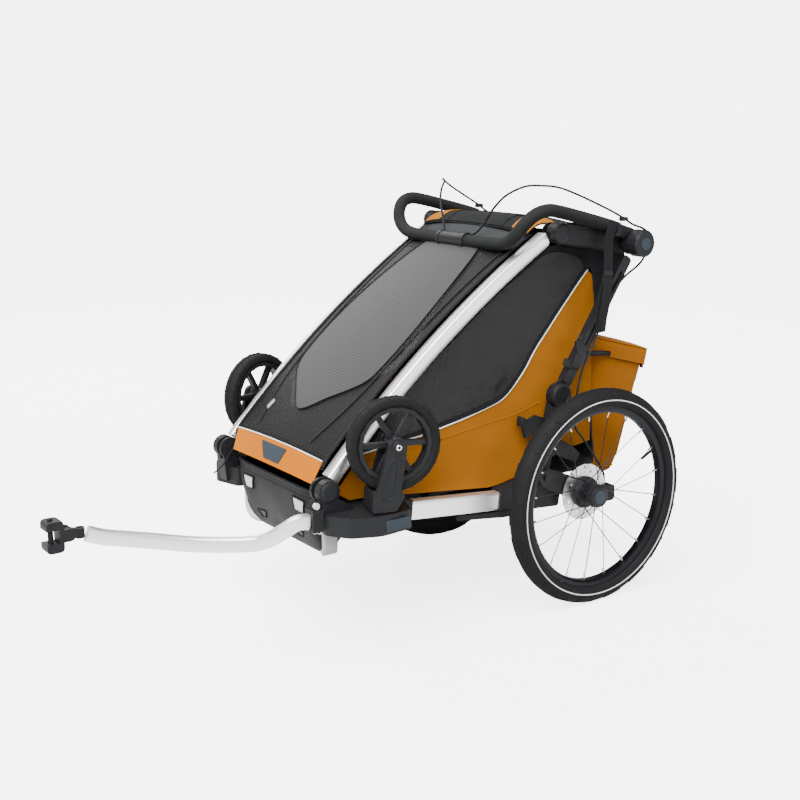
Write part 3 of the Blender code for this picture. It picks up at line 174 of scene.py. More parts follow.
def addFloor():
    deselectAll()
    bpy.ops.mesh.primitive_circle_add(vertices=96, radius=studio["floorRadius"], fill_type="NGON")
    floor = bpy.context.object
    floor.name = "studioFloor"
    paper = bpy.data.materials.new("matteFloorPaper")  # matte paper: no gloss, a trace of fibre
    paper.use_nodes = True
    tree = paper.node_tree
    shader = tree.nodes["Principled BSDF"]
    shader.inputs["Roughness"].default_value = 0.95
    shader.inputs["Emission Color"].default_value = toLinear("#FFFFFF")
    seen = addNode(tree, "ShaderNodeLightPath")
    clear = addNode(
        tree, "ShaderNodeMath", {"operation": "MAXIMUM"},
        {0: seen.outputs["Is Camera Ray"], 1: seen.outputs["Is Glossy Ray"]},
    )
    tone = addNode(
        tree, "ShaderNodeMix",
        {"data_type": "RGBA", 6: toLinear(studio["floorDark"]), 7: toLinear(studio["floorLight"])},
        {0: clear.outputs["Value"]},
    )
    glow = addNode(
        tree, "ShaderNodeMath", {"operation": "MULTIPLY", 1: studio["floorGlow"]},
        {0: seen.outputs["Is Camera Ray"]},
    )
    tree.links.new(tone.outputs[2], shader.inputs["Base Color"])
    tree.links.new(glow.outputs["Value"], shader.inputs["Emission Strength"])
    place = addNode(tree, "ShaderNodeTexCoord")
    fibre = addNode(tree, "ShaderNodeTexNoise", {"Scale": 300.0}, {"Vector": place.outputs["Object"]})
    bump = addNode(
        tree, "ShaderNodeBump", {"Strength": 0.03, "Distance": 0.0005}, {"Height": fibre.outputs["Fac"]}
    )
    tree.links.new(bump.outputs["Normal"], shader.inputs["Normal"])
    floor.data.materials.append(paper)


addCamera()
addStudio()
addFloor()
print("camera, lights and floor are in place")


# Materials. Each starts from the real stuff: what it is, how it was made and what that gives the eye
def startMaterial(name, color, roughness, metallic=0.0, ior=None, sheen=0.0, gloss=None):
    material = bpy.data.materials.new(name)
    material.use_nodes = True
    shader = material.node_tree.nodes["Principled BSDF"]
    shader.inputs["Base Color"].default_value = toLinear(color)
    shader.inputs["Roughness"].default_value = roughness
    shader.inputs["Metallic"].default_value = metallic
    if ior:
        shader.inputs["IOR"].default_value = ior
    if gloss is not None:
        shader.inputs["Specular IOR Level"].default_value = gloss
    if sheen:
        shader.inputs["Sheen Weight"].default_value = sheen
        shader.inputs["Sheen Roughness"].default_value = 0.45
    return material, material.node_tree, shader


# Glass-filled nylon, moulded against a spark-eroded tool: matte, a fine pebble and slightly paler worn
# places. The pebble is 0.3 mm on the real thing, drawn at grainMm so that it shows
def mouldedNylon(name, darkColor, paleColor, roughness, grainMm=1.0):
    material, tree, shader = startMaterial(name, darkColor, roughness, ior=1.53, gloss=0.17)
    place = addNode(tree, "ShaderNodeTexCoord")
    clouds = addNode(
        tree, "ShaderNodeTexNoise", {"Scale": 9.0, "Detail": 5.0}, {"Vector": place.outputs["Object"]}
    )
    tint = addNode(
        tree, "ShaderNodeMix", {"data_type": "RGBA", 6: toLinear(darkColor), 7: toLinear(paleColor)},
        {0: clouds.outputs["Fac"]},
    )
    tree.links.new(tint.outputs[2], shader.inputs["Base Color"])
    pebble = addNode(
        tree, "ShaderNodeTexNoise", {"Scale": 1000 / grainMm / 2, "Detail": 3.0},
        {"Vector": place.outputs["Object"]},
    )
    gloss = addNode(
        tree, "ShaderNodeMapRange",
        {"From Min": 0.3, "From Max": 0.7, "To Min": roughness - 0.07, "To Max": roughness + 0.08},
        {"Value": clouds.outputs["Fac"]},
    )
    tree.links.new(gloss.outputs["Result"], shader.inputs["Roughness"])
    bump = addNode(
        tree, "ShaderNodeBump", {"Strength": 0.22, "Distance": 0.0004}, {"Height": pebble.outputs["Fac"]}
    )
    tree.links.new(bump.outputs["Normal"], shader.inputs["Normal"])
    return material


# Extruded aluminium, brushed lengthwise and anodised: a soft bright streak along the bar, faint die lines
def brushedAluminium(name, color, roughness, along=(0, 0, 0), lineMm=0.5):
    material, tree, shader = startMaterial(name, color, roughness, metallic=1.0)
    place = addNode(tree, "ShaderNodeTexCoord")
    turn = addNode(
        tree, "ShaderNodeMapping",
        {"Rotation": along, "Scale": (1000 / lineMm / 2, 4.0, 1000 / lineMm / 2)},
        {"Vector": place.outputs["Object"]},
    )
    lines = addNode(
        tree, "ShaderNodeTexNoise", {"Scale": 1.0, "Detail": 3.0}, {"Vector": turn.outputs["Vector"]}
    )
    gloss = addNode(
        tree, "ShaderNodeMapRange",
        {"From Min": 0.3, "From Max": 0.7, "To Min": roughness - 0.05, "To Max": roughness + 0.09},
        {"Value": lines.outputs["Fac"]},
    )
    tree.links.new(gloss.outputs["Result"], shader.inputs["Roughness"])
    bump = addNode(
        tree, "ShaderNodeBump", {"Strength": 0.10, "Distance": 0.0002}, {"Height": lines.outputs["Fac"]}
    )
    tree.links.new(bump.outputs["Normal"], shader.inputs["Normal"])
    return material


# Woven polyester, plain weave, coated behind: matte with a little sheen. Threads are 0.4 mm apart, drawn at
# 1.2 mm so that they show. The piece's own UV map is in metres, so that the weave follows the cloth
def wovenPolyester(name, darkColor, paleColor, roughness=0.78, sheen=0.04, threadMm=1.2, wrinkle=0.35):
    material, tree, shader = startMaterial(name, darkColor, roughness, ior=1.5, sheen=sheen, gloss=0.10)
    flat = addNode(tree, "ShaderNodeUVMap", {"uv_map": "flatMetres"})
    place = addNode(tree, "ShaderNodeTexCoord")
    count = 1000 / threadMm
    warp = addNode(
        tree, "ShaderNodeTexWave",
        {"bands_direction": "X", "Scale": count / 20 * pi, "Distortion": 0.6, "Detail Scale": 3.0},
        {"Vector": flat.outputs["UV"]},
    )
    weft = addNode(
        tree, "ShaderNodeTexWave",
        {"bands_direction": "Y", "Scale": count / 20 * pi, "Distortion": 0.6, "Detail Scale": 3.0},
        {"Vector": flat.outputs["UV"]},
    )
    weave = addNode(
        tree, "ShaderNodeMath", {"operation": "MULTIPLY"}, {0: warp.outputs["Fac"], 1: weft.outputs["Fac"]}
    )
    clouds = addNode(
        tree, "ShaderNodeTexNoise", {"Scale": 7.0, "Detail": 6.0}, {"Vector": place.outputs["Object"]}
    )
    shade = addNode(
        tree, "ShaderNodeMix", {"Factor": 0.35}, {2: clouds.outputs["Fac"], 3: weave.outputs["Value"]}
    )
    tint = addNode(
        tree, "ShaderNodeMix", {"data_type": "RGBA", 6: toLinear(darkColor), 7: toLinear(paleColor)},
        {0: shade.outputs[0]},
    )
    tree.links.new(tint.outputs[2], shader.inputs["Base Color"])
    creases = addNode(
        tree, "ShaderNodeTexNoise", {"Scale": 5.5, "Detail": 2.0, "Distortion": 0.8},
        {"Vector": place.outputs["Object"]},
    )
    soft = addNode(
        tree, "ShaderNodeBump", {"Strength": wrinkle, "Distance": 0.012}, {"Height": creases.outputs["Fac"]}
    )
    bump = addNode(
        tree, "ShaderNodeBump", {"Strength": 0.30, "Distance": 0.0004},
        {"Height": weave.outputs["Value"], "Normal": soft.outputs["Normal"]},
    )
    tree.links.new(bump.outputs["Normal"], shader.inputs["Normal"])
    return material


# Natural rubber, moulded and matte, with mould dust in the low places
def mouldedRubber(name, darkColor, paleColor, roughness=0.72):
    material, tree, shader = startMaterial(name, darkColor, roughness, ior=1.52, gloss=0.12)
    place = addNode(tree, "ShaderNodeTexCoord")
    dust = addNode(
        tree, "ShaderNodeTexNoise", {"Scale": 22.0, "Detail": 6.0}, {"Vector": place.outputs["Object"]}
    )
    tint = addNode(
        tree, "ShaderNodeMix", {"data_type": "RGBA", 6: toLinear(darkColor), 7: toLinear(paleColor)},
        {0: dust.outputs["Fac"]},
    )
    tree.links.new(tint.outputs[2], shader.inputs["Base Color"])
    skin = addNode(
        tree, "ShaderNodeTexNoise", {"Scale": 900.0, "Detail": 2.0}, {"Vector": place.outputs["Object"]}
    )
    bump = addNode(
        tree, "ShaderNodeBump", {"Strength": 0.25, "Distance": 0.0004}, {"Height": skin.outputs["Fac"]}
    )
    tree.links.new(bump.outputs["Normal"], shader.inputs["Normal"])
    return material


# Closed-cell foam sleeve: very matte, with small open pores where the skin was ground off
def groundFoam(name, darkColor, paleColor):
    material, tree, shader = startMaterial(name, darkColor, 0.92, ior=1.45, gloss=0.15)
    place = addNode(tree, "ShaderNodeTexCoord")
    pores = addNode(tree, "ShaderNodeTexVoronoi", {"Scale": 900.0}, {"Vector": place.outputs["Object"]})
    clouds = addNode(
        tree, "ShaderNodeTexNoise", {"Scale": 14.0, "Detail": 4.0}, {"Vector": place.outputs["Object"]}
    )
    tint = addNode(
        tree, "ShaderNodeMix", {"data_type": "RGBA", 6: toLinear(darkColor), 7: toLinear(paleColor)},
        {0: clouds.outputs["Fac"]},
    )
    tree.links.new(tint.outputs[2], shader.inputs["Base Color"])
    bump = addNode(
        tree, "ShaderNodeBump", {"Strength": 0.35, "Distance": 0.0005}, {"Height": pores.outputs["Distance"]}
    )
    tree.links.new(bump.outputs["Normal"], shader.inputs["Normal"])
    return material


# Stainless steel, stamped and ground: fine grinding arcs, so the highlight spreads across them
def groundSteel(name, color, roughness=0.28):
    material, tree, shader = startMaterial(name, color, roughness, metallic=1.0)
    place = addNode(tree, "ShaderNodeTexCoord")
    flat = addNode(tree, "ShaderNodeMapping", {"Scale": (0.0, 1.0, 1.0)}, {"Vector": place.outputs["Object"]})
    rings = addNode(
        tree, "ShaderNodeTexWave",
        {"wave_type": "RINGS", "rings_direction": "SPHERICAL", "Scale": 220.0, "Distortion": 1.5},
        {"Vector": flat.outputs["Vector"]},
    )
    bump = addNode(
        tree, "ShaderNodeBump", {"Strength": 0.12, "Distance": 0.0002}, {"Height": rings.outputs["Fac"]}
    )
    tree.links.new(bump.outputs["Normal"], shader.inputs["Normal"])
    return material


# Tinted PVC film, calendered smooth: it shows what is behind it, and has soft waves where it is stretched
def calenderedFilm(name, color, clearness, roughness=0.24):
    material, tree, shader = startMaterial(name, color, roughness, ior=1.54, gloss=0.22)
    shader.inputs["Alpha"].default_value = 1 - clearness
    place = addNode(tree, "ShaderNodeTexCoord")
    waves = addNode(
        tree, "ShaderNodeTexNoise", {"Scale": 4.5, "Detail": 1.5, "Distortion": 0.6},
        {"Vector": place.outputs["Object"]},
    )
    bump = addNode(
        tree, "ShaderNodeBump", {"Strength": 0.30, "Distance": 0.014}, {"Height": waves.outputs["Fac"]}
    )
    tree.links.new(bump.outputs["Normal"], shader.inputs["Normal"])
    return material


# Knitted insect mesh: pale threads round small dark openings. The openings are 1 mm on the real thing,
# drawn at openingMm so that they show
def knittedMesh(name, thread, opening, openingMm=3.2):
    material, tree, shader = startMaterial(name, thread, 0.7, ior=1.5, sheen=0.2)
    shader.inputs["Alpha"].default_value = 0.94
    flat = addNode(tree, "ShaderNodeUVMap", {"uv_map": "flatMetres"})
    scale = 1000 / openingMm / 20 * pi
    rows = addNode(
        tree, "ShaderNodeTexWave",
        {"bands_direction": "Y", "Scale": scale, "Distortion": 0.4, "Detail Scale": 2.0},
        {"Vector": flat.outputs["UV"]},
    )
    loops = addNode(
        tree, "ShaderNodeTexWave",
        {"bands_direction": "X", "Scale": scale * 1.3, "Distortion": 0.8, "Detail Scale": 2.0},
        {"Vector": flat.outputs["UV"]},
    )
    knit = addNode(tree, "ShaderNodeMix", {"Factor": 0.35}, {2: rows.outputs["Fac"], 3: loops.outputs["Fac"]})
    tint = addNode(
        tree, "ShaderNodeMix", {"data_type": "RGBA", 6: toLinear(opening), 7: toLinear(thread)},
        {0: knit.outputs[0]},
    )
    tree.links.new(tint.outputs[2], shader.inputs["Base Color"])
    bump = addNode(tree, "ShaderNodeBump", {"Strength": 0.4, "Distance": 0.0006}, {"Height": knit.outputs[0]})
    tree.links.new(bump.outputs["Normal"], shader.inputs["Normal"])
    return material


finishes = {
    "anodised": brushedAluminium("brushedAnodisedAluminium", "#FAFAFB", 0.36, (radians(39.1), 0, 0)),
    "railAluminium": brushedAluminium("brushedRailAluminium", "#FAFAFB", 0.40, (radians(-5.3), 0, 0)),
    "towAluminium": brushedAluminium("blastedTowAluminium", "#EDEEEF", 0.42),
    "paleBar": mouldedNylon("paintedPaleBar", "#DADAD8", "#E8E8E6", 0.42),
    "blackNylon": mouldedNylon("mouldedBlackNylon", "#17181A", "#1F2022", 0.52),
    "blackCasting": mouldedNylon("powderCoatedCasting", "#18191A", "#212225", 0.46),
    "slateNylon": mouldedNylon("mouldedSlateNylon", "#29323A", "#343E48", 0.50),
    "whiteNylon": mouldedNylon("mouldedWhiteNylon", "#E4E4E2", "#F2F2F0", 0.40),
    "blackRim": brushedAluminium("blackAnodisedRim", "#26272A", 0.40),
    "rotor": groundSteel("groundStainlessRotor", "#D0D1D2"),
    "tyre": mouldedRubber("mouldedTyreRubber", "#141516", "#1C1C1D"),
    "cable": mouldedRubber("extrudedCableJacket", "#17181A", "#232427", 0.42),
    "foam": groundFoam("groundFoamSleeve", "#1D1E1F", "#282929"),
    "amberCloth": wovenPolyester("wovenAmberPolyester", "#91570B", "#A76812"),
    "darkCloth": wovenPolyester("wovenCharcoalPolyester", "#2A2B2C", "#38393B"),
    # Strip cloth: the amber is brighter and more saturated than the side panels' amber, as painted light on
    # the strip's up-facing face
    "stripClothPaintedLight": wovenPolyester("wovenStripPolyesterPaintedLight", "#B86200", "#D07A00"),
    "roofCloth": wovenPolyester("wovenRoofPolyester", "#0F1011", "#18191A"),
    "bagCloth": wovenPolyester("wovenBagPolyester", "#93570E", "#A96712"),
    "seatCloth": wovenPolyester("wovenSeatPolyester", "#2C2D2F", "#3B3C3E", wrinkle=0.2),
    "blackCloth": wovenPolyester("wovenBlackPolyester", "#17181A", "#232427", wrinkle=0.2),
    "greyTag": wovenPolyester("wovenGreyLabel", "#8F9092", "#A5A6A8", wrinkle=0.1),
    "reflective": mouldedNylon("reflectiveTape", "#E9EAEB", "#F6F7F8", 0.30),
    "nickel": groundSteel("platedNickel", "#C4C6C8", 0.24),
    "redLens": mouldedNylon("mouldedRedLens", "#5A1418", "#6E1A1E", 0.22),
    "tintedFilm": calenderedFilm("tintedPvcFilm", "#2C2C2D", 0.42, 0.5),
    "smokedFilm": calenderedFilm("smokedPvcFilm", "#0B0A0A", 0.18, 0.6),
    "meshCloth": knittedMesh("knittedInsectMesh", "#373738", "#101011"),
    "tubShell": mouldedNylon("mouldedTubPolyethylene", "#0D0E0F", "#141517", 0.58),
}

nodeFinish = {
    "anodised": ["front_tube"],
    "railAluminium": ["side_rail"],
    "towAluminium": ["tow_arm", "axle_cross_tube"],
    "paleBar": ["front_hoop"],
    "blackNylon": [
        "front_bracket", "rear_bracket", "fork", "caster_wheel", "upper_arm", "bar_hub", "bar_ring",
        "tow_socket", "brake_grip", "hitch_clevis", "hitch_knuckle", "wrist_strap",
    ],
    "blackCasting": ["axle_arm", "rear_post", "spoked_hub"],
    "slateNylon": ["wheel_button", "bar_button"],
    "whiteNylon": ["tow_release_button"],
    "blackRim": ["rim"],
    "rotor": ["brake_disc"],
    "tyre": ["tyre", "caster_tyre"],
    "cable": ["brake_cable", "brake_cable_lower"],
    "foam": ["handlebar"],
    "amberCloth": ["side_panel", "cargo_bag", "bag_lid"],
    "darkCloth": ["seat_pad", "seat_back", "front_cover", "roof", "cabin_liner"],
    "tubShell": ["footwell"],
}


def stemOf(name):
    for ending in ("_left", "_right"):
        name = name.removesuffix(ending)
    return name


def dressNodes():
    finishOf = {stem: key for key, stems in nodeFinish.items() for stem in stems}
    for name, node in nodes.items():
        stem = stemOf(name)
        node.data.materials.clear()
        node.data.materials.append(finishes[finishOf[stem]])
        deselectAll()
        bpy.context.view_layer.objects.active = node
        node.select_set(True)
        bpy.ops.object.shade_smooth_by_angle(angle=radians(32))


dressNodes()
print("the CAD nodes have their finishes")


# Tools for the new pieces: spread cloth, sections swept along a path, turned parts and cut plates
def onLine(start, end, along, off=0.0):
    run = (Vector(end) - Vector(start)).normalized()
    return Vector(start) + run * along + Vector((-run.y, run.x)) * off


def smoothLine(points, spacing, closed=False):
    spots = [Vector(p) for p in points]
    count = len(spots)
    line = []
    for k in range(count if closed else count - 1):
        before = spots[k - 1] if closed or k else spots[0] * 2 - spots[1]
        here, there = spots[k], spots[(k + 1) % count]
        after = spots[(k + 2) % count] if closed or k < count - 2 else there * 2 - here
        steps = max(1, ceil((there - here).length / spacing))
        for t in [n / steps for n in range(steps)]:
            bend = (there - before) * t + (before * 2 - here * 5 + there * 4 - after) * t * t
            line.append(here + (bend + (here * 3 - before - there * 3 + after) * t ** 3) / 2)
    return line if closed else line + [spots[-1]]


def splitEdges(outline, spacing):
    line = []
    for start, end in zip(outline, outline[1:] + outline[:1]):
        steps = max(1, ceil((Vector(end) - Vector(start)).length / spacing))
        line += [Vector(start).lerp(Vector(end), n / steps) for n in range(steps)]
    return line


def isInside(spot, outline):
    inside = False
    for a, b in zip(outline, outline[1:] + outline[:1]):
        if (a.y > spot.y) != (b.y > spot.y) and spot.x < a.x + (spot.y - a.y) * (b.x - a.x) / (b.y - a.y):
            inside = not inside
    return inside


def addObject(name, mesh, finish):
    mesh.materials.append(finishes[finish])
    piece = bpy.data.objects.new(name, mesh)
    bpy.context.scene.collection.objects.link(piece)
    return piece


def pick(piece):
    deselectAll()
    piece.select_set(True)
    bpy.context.view_layer.objects.active = piece


def smooth(piece, degrees=40):
    pick(piece)
    bpy.ops.object.shade_smooth_by_angle(angle=radians(degrees))
    return piece


def finishWith(piece, kind, **settings):
    pick(piece)
    modifier = piece.modifiers.new(kind.title(), kind)
    for key, value in settings.items():
        setattr(modifier, key, value)
    bpy.ops.object.modifier_apply(modifier=modifier.name)
    return piece


def mirrored(piece, name):
    twin = piece.copy()
    twin.data = piece.data.copy()
    twin.name = name
    bpy.context.scene.collection.objects.link(twin)
    pick(twin)
    twin.scale.x = -1
    bpy.ops.object.transform_apply(location=False, rotation=False, scale=True)
    return twin


def clothArea(outline):
    return abs(sum(a.x * b.y - b.x * a.y for a, b in zip(outline, outline[1:] + outline[:1]))) / 2


# The smallest rectangle that the cut fits in, found by turning it a little at a time
def cutSize(outline):
    sizes = []
    for turn in range(0, 90, 5):
        c, s = cos(radians(turn)), sin(radians(turn))
        wide = [p.x * c + p.y * s for p in outline]
        long = [p.y * c - p.x * s for p in outline]
        sizes.append((max(wide) - min(wide), max(long) - min(long)))
    return min(sizes, key=lambda size: size[0] * size[1])


# A sheet cut to an outline, filled with even triangles and put in place by lift. Its UV map is the cut
def spreadCloth(name, outline, lift, finish, outward, spacing=0.014, thickness=0.0014):
    rim = splitEdges([Vector(p) for p in outline], spacing)
    if sum(a.x * b.y - b.x * a.y for a, b in zip(rim, rim[1:] + rim[:1])) < 0:
        rim.reverse()
    clearOfRim = 0.55 * spacing
    low = Vector((min(p.x for p in rim), min(p.y for p in rim)))
    high = Vector((max(p.x for p in rim), max(p.y for p in rim)))
    spots = list(rim)
    for row in range(int((high.y - low.y) / spacing) + 1):
        for column in range(int((high.x - low.x) / spacing) + 1):
            spot = low + Vector(((column + 0.5 * (row % 2)) * spacing, row * spacing))
            if isInside(spot, rim) and min((spot - p).length for p in rim) > clearOfRim:
                spots.append(spot)
    triangles = delaunay_2d_cdt(spots, [], [list(range(len(rim)))], 1, 1e-6)
    flat, faces = triangles[0], triangles[2]
    mesh = bpy.data.meshes.new(name)
    mesh.from_pydata([lift(p) for p in flat], [], [list(face) for face in faces])
    layer = mesh.uv_layers.new(name="flatMetres")
    for loop in mesh.loops:
        layer.data[loop.index].uv = flat[loop.vertex_index]
    mesh.update()
    if sum((face.normal * face.area for face in mesh.polygons), Vector()).dot(Vector(outward)) < 0:
        mesh.flip_normals()
    piece = addObject(name, mesh, finish)
    finishWith(piece, "SOLIDIFY", thickness=thickness, offset=-1)
    piece["cut"] = [*cutSize(rim), clothArea(rim)]
    return smooth(piece, 50)


def declareSheet(piece, withPieces=()):
    wide, long, area = piece["cut"]
    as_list(withPieces)


def circleSection(radius, sides=10):
    return [(radius * cos(2 * pi * k / sides), radius * sin(2 * pi * k / sides)) for k in range(sides)]


def flatSection(width, thickness):
    w, t, r = width / 2, thickness / 2, thickness * 0.3
    return [(w, -r), (w, r), (w - r, t), (r - w, t), (-w, r), (-w, -r), (r - w, -t), (w - r, -t)]


# A tube or shell through rings of corners: a grid laid on them, its ends filled and its seam merged.
# flat gives the place of a ring's corner on the uncut cloth
def drawOut(name, rings, finish, closed=False, ends=(0, -1), flat=None):
    corners = len(rings[0])
    rows = rings + rings[:1] if closed else rings
    deselectAll()
    bpy.ops.mesh.primitive_grid_add(
        x_subdivisions=corners, y_subdivisions=len(rows) - 1, calc_uvs=False, location=(0, 0, 0)
    )
    piece = bpy.context.object
    piece.name = piece.data.name = name
    for row, ring in enumerate(rows):
        for column in range(corners + 1):
            piece.data.vertices[row * (corners + 1) + column].co = ring[column % corners]
    if flat:
        layer = piece.data.uv_layers.new(name="flatMetres")
        for loop in piece.data.loops:
            row, column = divmod(loop.vertex_index, corners + 1)
            layer.data[loop.index].uv = flat(row, column % corners)
    bpy.ops.object.mode_set(mode="EDIT")
    bpy.ops.mesh.select_mode(type="VERT")
    for end in () if closed else ends:
        bpy.ops.mesh.select_all(action="DESELECT")
        inside = bmesh.from_edit_mesh(piece.data)
        inside.verts.ensure_lookup_table()
        first = (end % len(rows)) * (corners + 1)
        for vertex in inside.verts[first:first + corners + 1]:
            vertex.select = True
        inside.select_flush(True)
        bpy.ops.mesh.edge_face_add()
    bpy.ops.mesh.select_all(action="SELECT")
    bpy.ops.mesh.remove_doubles(threshold=0.000002)
    bpy.ops.mesh.normals_make_consistent(inside=False)
    bpy.ops.object.mode_set(mode="OBJECT")
    piece.data.materials.append(finishes[finish])
    return piece


# A section carried along a path. Its first measure runs along side, or across the path where side is none
def sweep(name, path, section, finish, side=None, closed=False, uv=False):
    count = len(path)
    rings, reach, normal = [], [0.0], None
    for k, spot in enumerate(path):
        ahead = path[(k + 1) % count] if closed or k < count - 1 else spot
        behind = path[k - 1] if closed or k else spot
        run = (ahead - behind).normalized()
        reference = Vector(side) if side else normal or run.orthogonal()
        normal = (reference - run * reference.dot(run)).normalized()
        other = run.cross(normal)
        rings.append([spot + normal * a + other * b for a, b in section])
        reach.append(reach[-1] + (ahead - spot).length)
    flat = (lambda row, corner: (section[corner][0], reach[row])) if uv else None
    return smooth(drawOut(name, rings, finish, closed, flat=flat), 50)


def settle(piece):
    pick(piece)
    bpy.ops.object.transform_apply(location=True, rotation=True, scale=True)
    bpy.ops.object.mode_set(mode="EDIT")
    bpy.ops.mesh.select_all(action="SELECT")
    bpy.ops.mesh.remove_doubles(threshold=0.00002)
    bpy.ops.mesh.normals_make_consistent(inside=False)
    bpy.ops.object.mode_set(mode="OBJECT")
    return piece


# A turned part: a disc drawn out ring by ring. Each ring is (radius, height along the axis)
def turned(name, centre, axis, rings, finish, steps=48, angle=35):
    deselectAll()
    bpy.ops.mesh.primitive_circle_add(vertices=steps, radius=rings[0][0], fill_type="NGON")
    piece = bpy.context.object
    piece.name = piece.data.name = name
    bpy.ops.object.mode_set(mode="EDIT")
    bpy.ops.mesh.select_all(action="SELECT")
    bpy.ops.transform.translate(value=(0, 0, rings[0][1]))
    radius, height = rings[0]
    for wide, tall in rings[1:]:
        bpy.ops.mesh.extrude_region_move(TRANSFORM_OT_translate={"value": (0, 0, tall - height)})
        if wide != radius:
            share = wide / radius
            bpy.ops.transform.resize(value=(share, share, 1), center_override=(0, 0, tall))
        radius, height = wide, tall
    bpy.ops.object.mode_set(mode="OBJECT")
    piece.rotation_euler = Vector(axis).to_track_quat("Z", "Y").to_euler()
    piece.location = centre
    piece.data.materials.append(finishes[finish])
    return smooth(settle(piece), angle)


def block(name, low, high, finish, bevel=0.002, segments=2):
    deselectAll()
    low, high = Vector(low), Vector(high)
    bpy.ops.mesh.primitive_cube_add(size=1, location=(low + high) / 2)
    piece = bpy.context.object
    piece.name = piece.data.name = name
    piece.scale = high - low
    piece.data.materials.append(finishes[finish])
    settle(piece)
    if bevel:
        finishWith(piece, "BEVEL", width=bevel, segments=segments)
    return smooth(piece)


# A plate cut to an outline in the along-up plane, drawn out across and broken at the edges
def plate(name, outline, acrossLow, acrossHigh, finish, bevel=0.001, segments=2):
    deselectAll()
    bpy.ops.mesh.primitive_circle_add(vertices=len(outline), radius=1, fill_type="NGON")
    piece = bpy.context.object
    piece.name = piece.data.name = name
    for vertex, (along, up) in zip(piece.data.vertices, outline):
        vertex.co = at(acrossLow, along, up)
    bpy.ops.object.mode_set(mode="EDIT")
    bpy.ops.mesh.select_all(action="SELECT")
    bpy.ops.mesh.extrude_region_move(TRANSFORM_OT_translate={"value": (acrossHigh - acrossLow, 0, 0)})
    bpy.ops.object.mode_set(mode="OBJECT")
    piece.data.materials.append(finishes[finish])
    settle(piece)
    if bevel:
        finishWith(piece, "BEVEL", width=bevel, segments=segments)
    return smooth(piece)


# A blank turned about a point, by degrees round the named axis
def tilt(piece, centre, degrees, axis="X"):
    there, back = Matrix.Translation(centre), Matrix.Translation(-Vector(centre))
    piece.matrix_world = there @ Matrix.Rotation(radians(degrees), 4, axis) @ back
    return settle(piece)


# The frame's pivots, along and up, and the bow of the front tubes above the line between them
frontPivot, topPivot = (-0.674, 0.360), (-0.076, 0.848)
barPivot, rearPivot = (0.125, 0.818), (-0.072, 0.484)
tubeSpan = (Vector(topPivot) - Vector(frontPivot)).length
tubeBow = {
    "rise": 0.030, "low": -0.0148, "high": 0.0195, "inner": 0.1930, "outer": 0.2222, "start": 0.026,
    "end": 0.024,
}


def bowAt(along):
    share = min(max(along / tubeSpan, 0.0), 1.0)
    return 4 * tubeBow["rise"] * share * (1 - share)


def onTube(along, off=0.0):
    return onLine(frontPivot, topPivot, along, bowAt(along) + off)


# Front tubes: one bowed extrusion a side, flat on top, with a stepped outer edge and a leaning outer face
def makeFrontTube(way, side):
    w, low, high = tubeBow["outer"] - tubeBow["inner"], tubeBow["low"], tubeBow["high"]
    section = [
        (0.002, low), (w - 0.004, low), (w - 0.001, low + 0.002), (w, low + 0.006), (w - 0.001, low + 0.012),
        (w - 0.0035, high - 0.0095), (w - 0.0065, high - 0.0055), (w - 0.0078, high - 0.0048),
        (w - 0.0088, high - 0.0018), (w - 0.0110, high - 0.0004), (w - 0.0150, high), (0.0035, high - 0.0006),
        (0.001, high - 0.003), (0.0, low + 0.003),
    ]
    stations = 30
    reach = tubeSpan - tubeBow["start"] - tubeBow["end"]
    path = [onTube(tubeBow["start"] + reach * k / stations) for k in range(stations + 1)]
    spots = [at(way * tubeBow["inner"], p.x, p.y) for p in path]
    return sweep("frontTube" + side, spots, section, "anodised", side=(way, 0, 0))


# Front cover: one tinted see-through sheet over both tubes, crowned across, with a light mesh window, an
# amber strip at its foot, a dark welt down each edge and a white piping
coverForm = {
    "half": 0.1920, "foot": -0.002, "head": 0.735, "edge": 0.0200, "crown": 0.012,
    "window": [
        (0.0, 0.128), (0.070, 0.175), (0.135, 0.232), (0.150, 0.285), (0.151, 0.380), (0.140, 0.480),
        (0.124, 0.570), (0.106, 0.638), (0.085, 0.661), (0.0, 0.664),
    ],
    "strip": [(0.172, -0.001), (0.183, 0.043)], "badge": [(0.032, 0.006), (0.054, 0.035)], "header": 0.672,
    "seam": [(0.111, 0.070), (0.140, 0.160), (0.155, 0.245), (0.163, 0.400), (0.167, 0.640), (0.167, 0.731)],
    "tag": [(-0.128, 0.112), (-0.116, 0.106), (-0.110, 0.128), (-0.122, 0.134)],
}


def onCover(spot, lift=0.0):
    x, s = spot
    climb = min(max((s - coverForm["foot"]) / 0.045, 0.0), 1.0)
    edge = 0.003 + (coverForm["edge"] - 0.003) * climb
    swell = coverForm["crown"] * (0.35 + 0.65 * climb) * (1 - (x / coverForm["half"]) ** 2)
    slack = 0.0014 * sin(9 * x + 3 * s) * climb
    p = onLine(frontPivot, topPivot, s, bowAt(s) + edge + swell + slack + lift)
    return at(x, p.x, p.y)


def mirrorOutline(half):
    return [Vector(p) for p in half] + [Vector((-x, y)) for x, y in reversed(half) if x > 0]


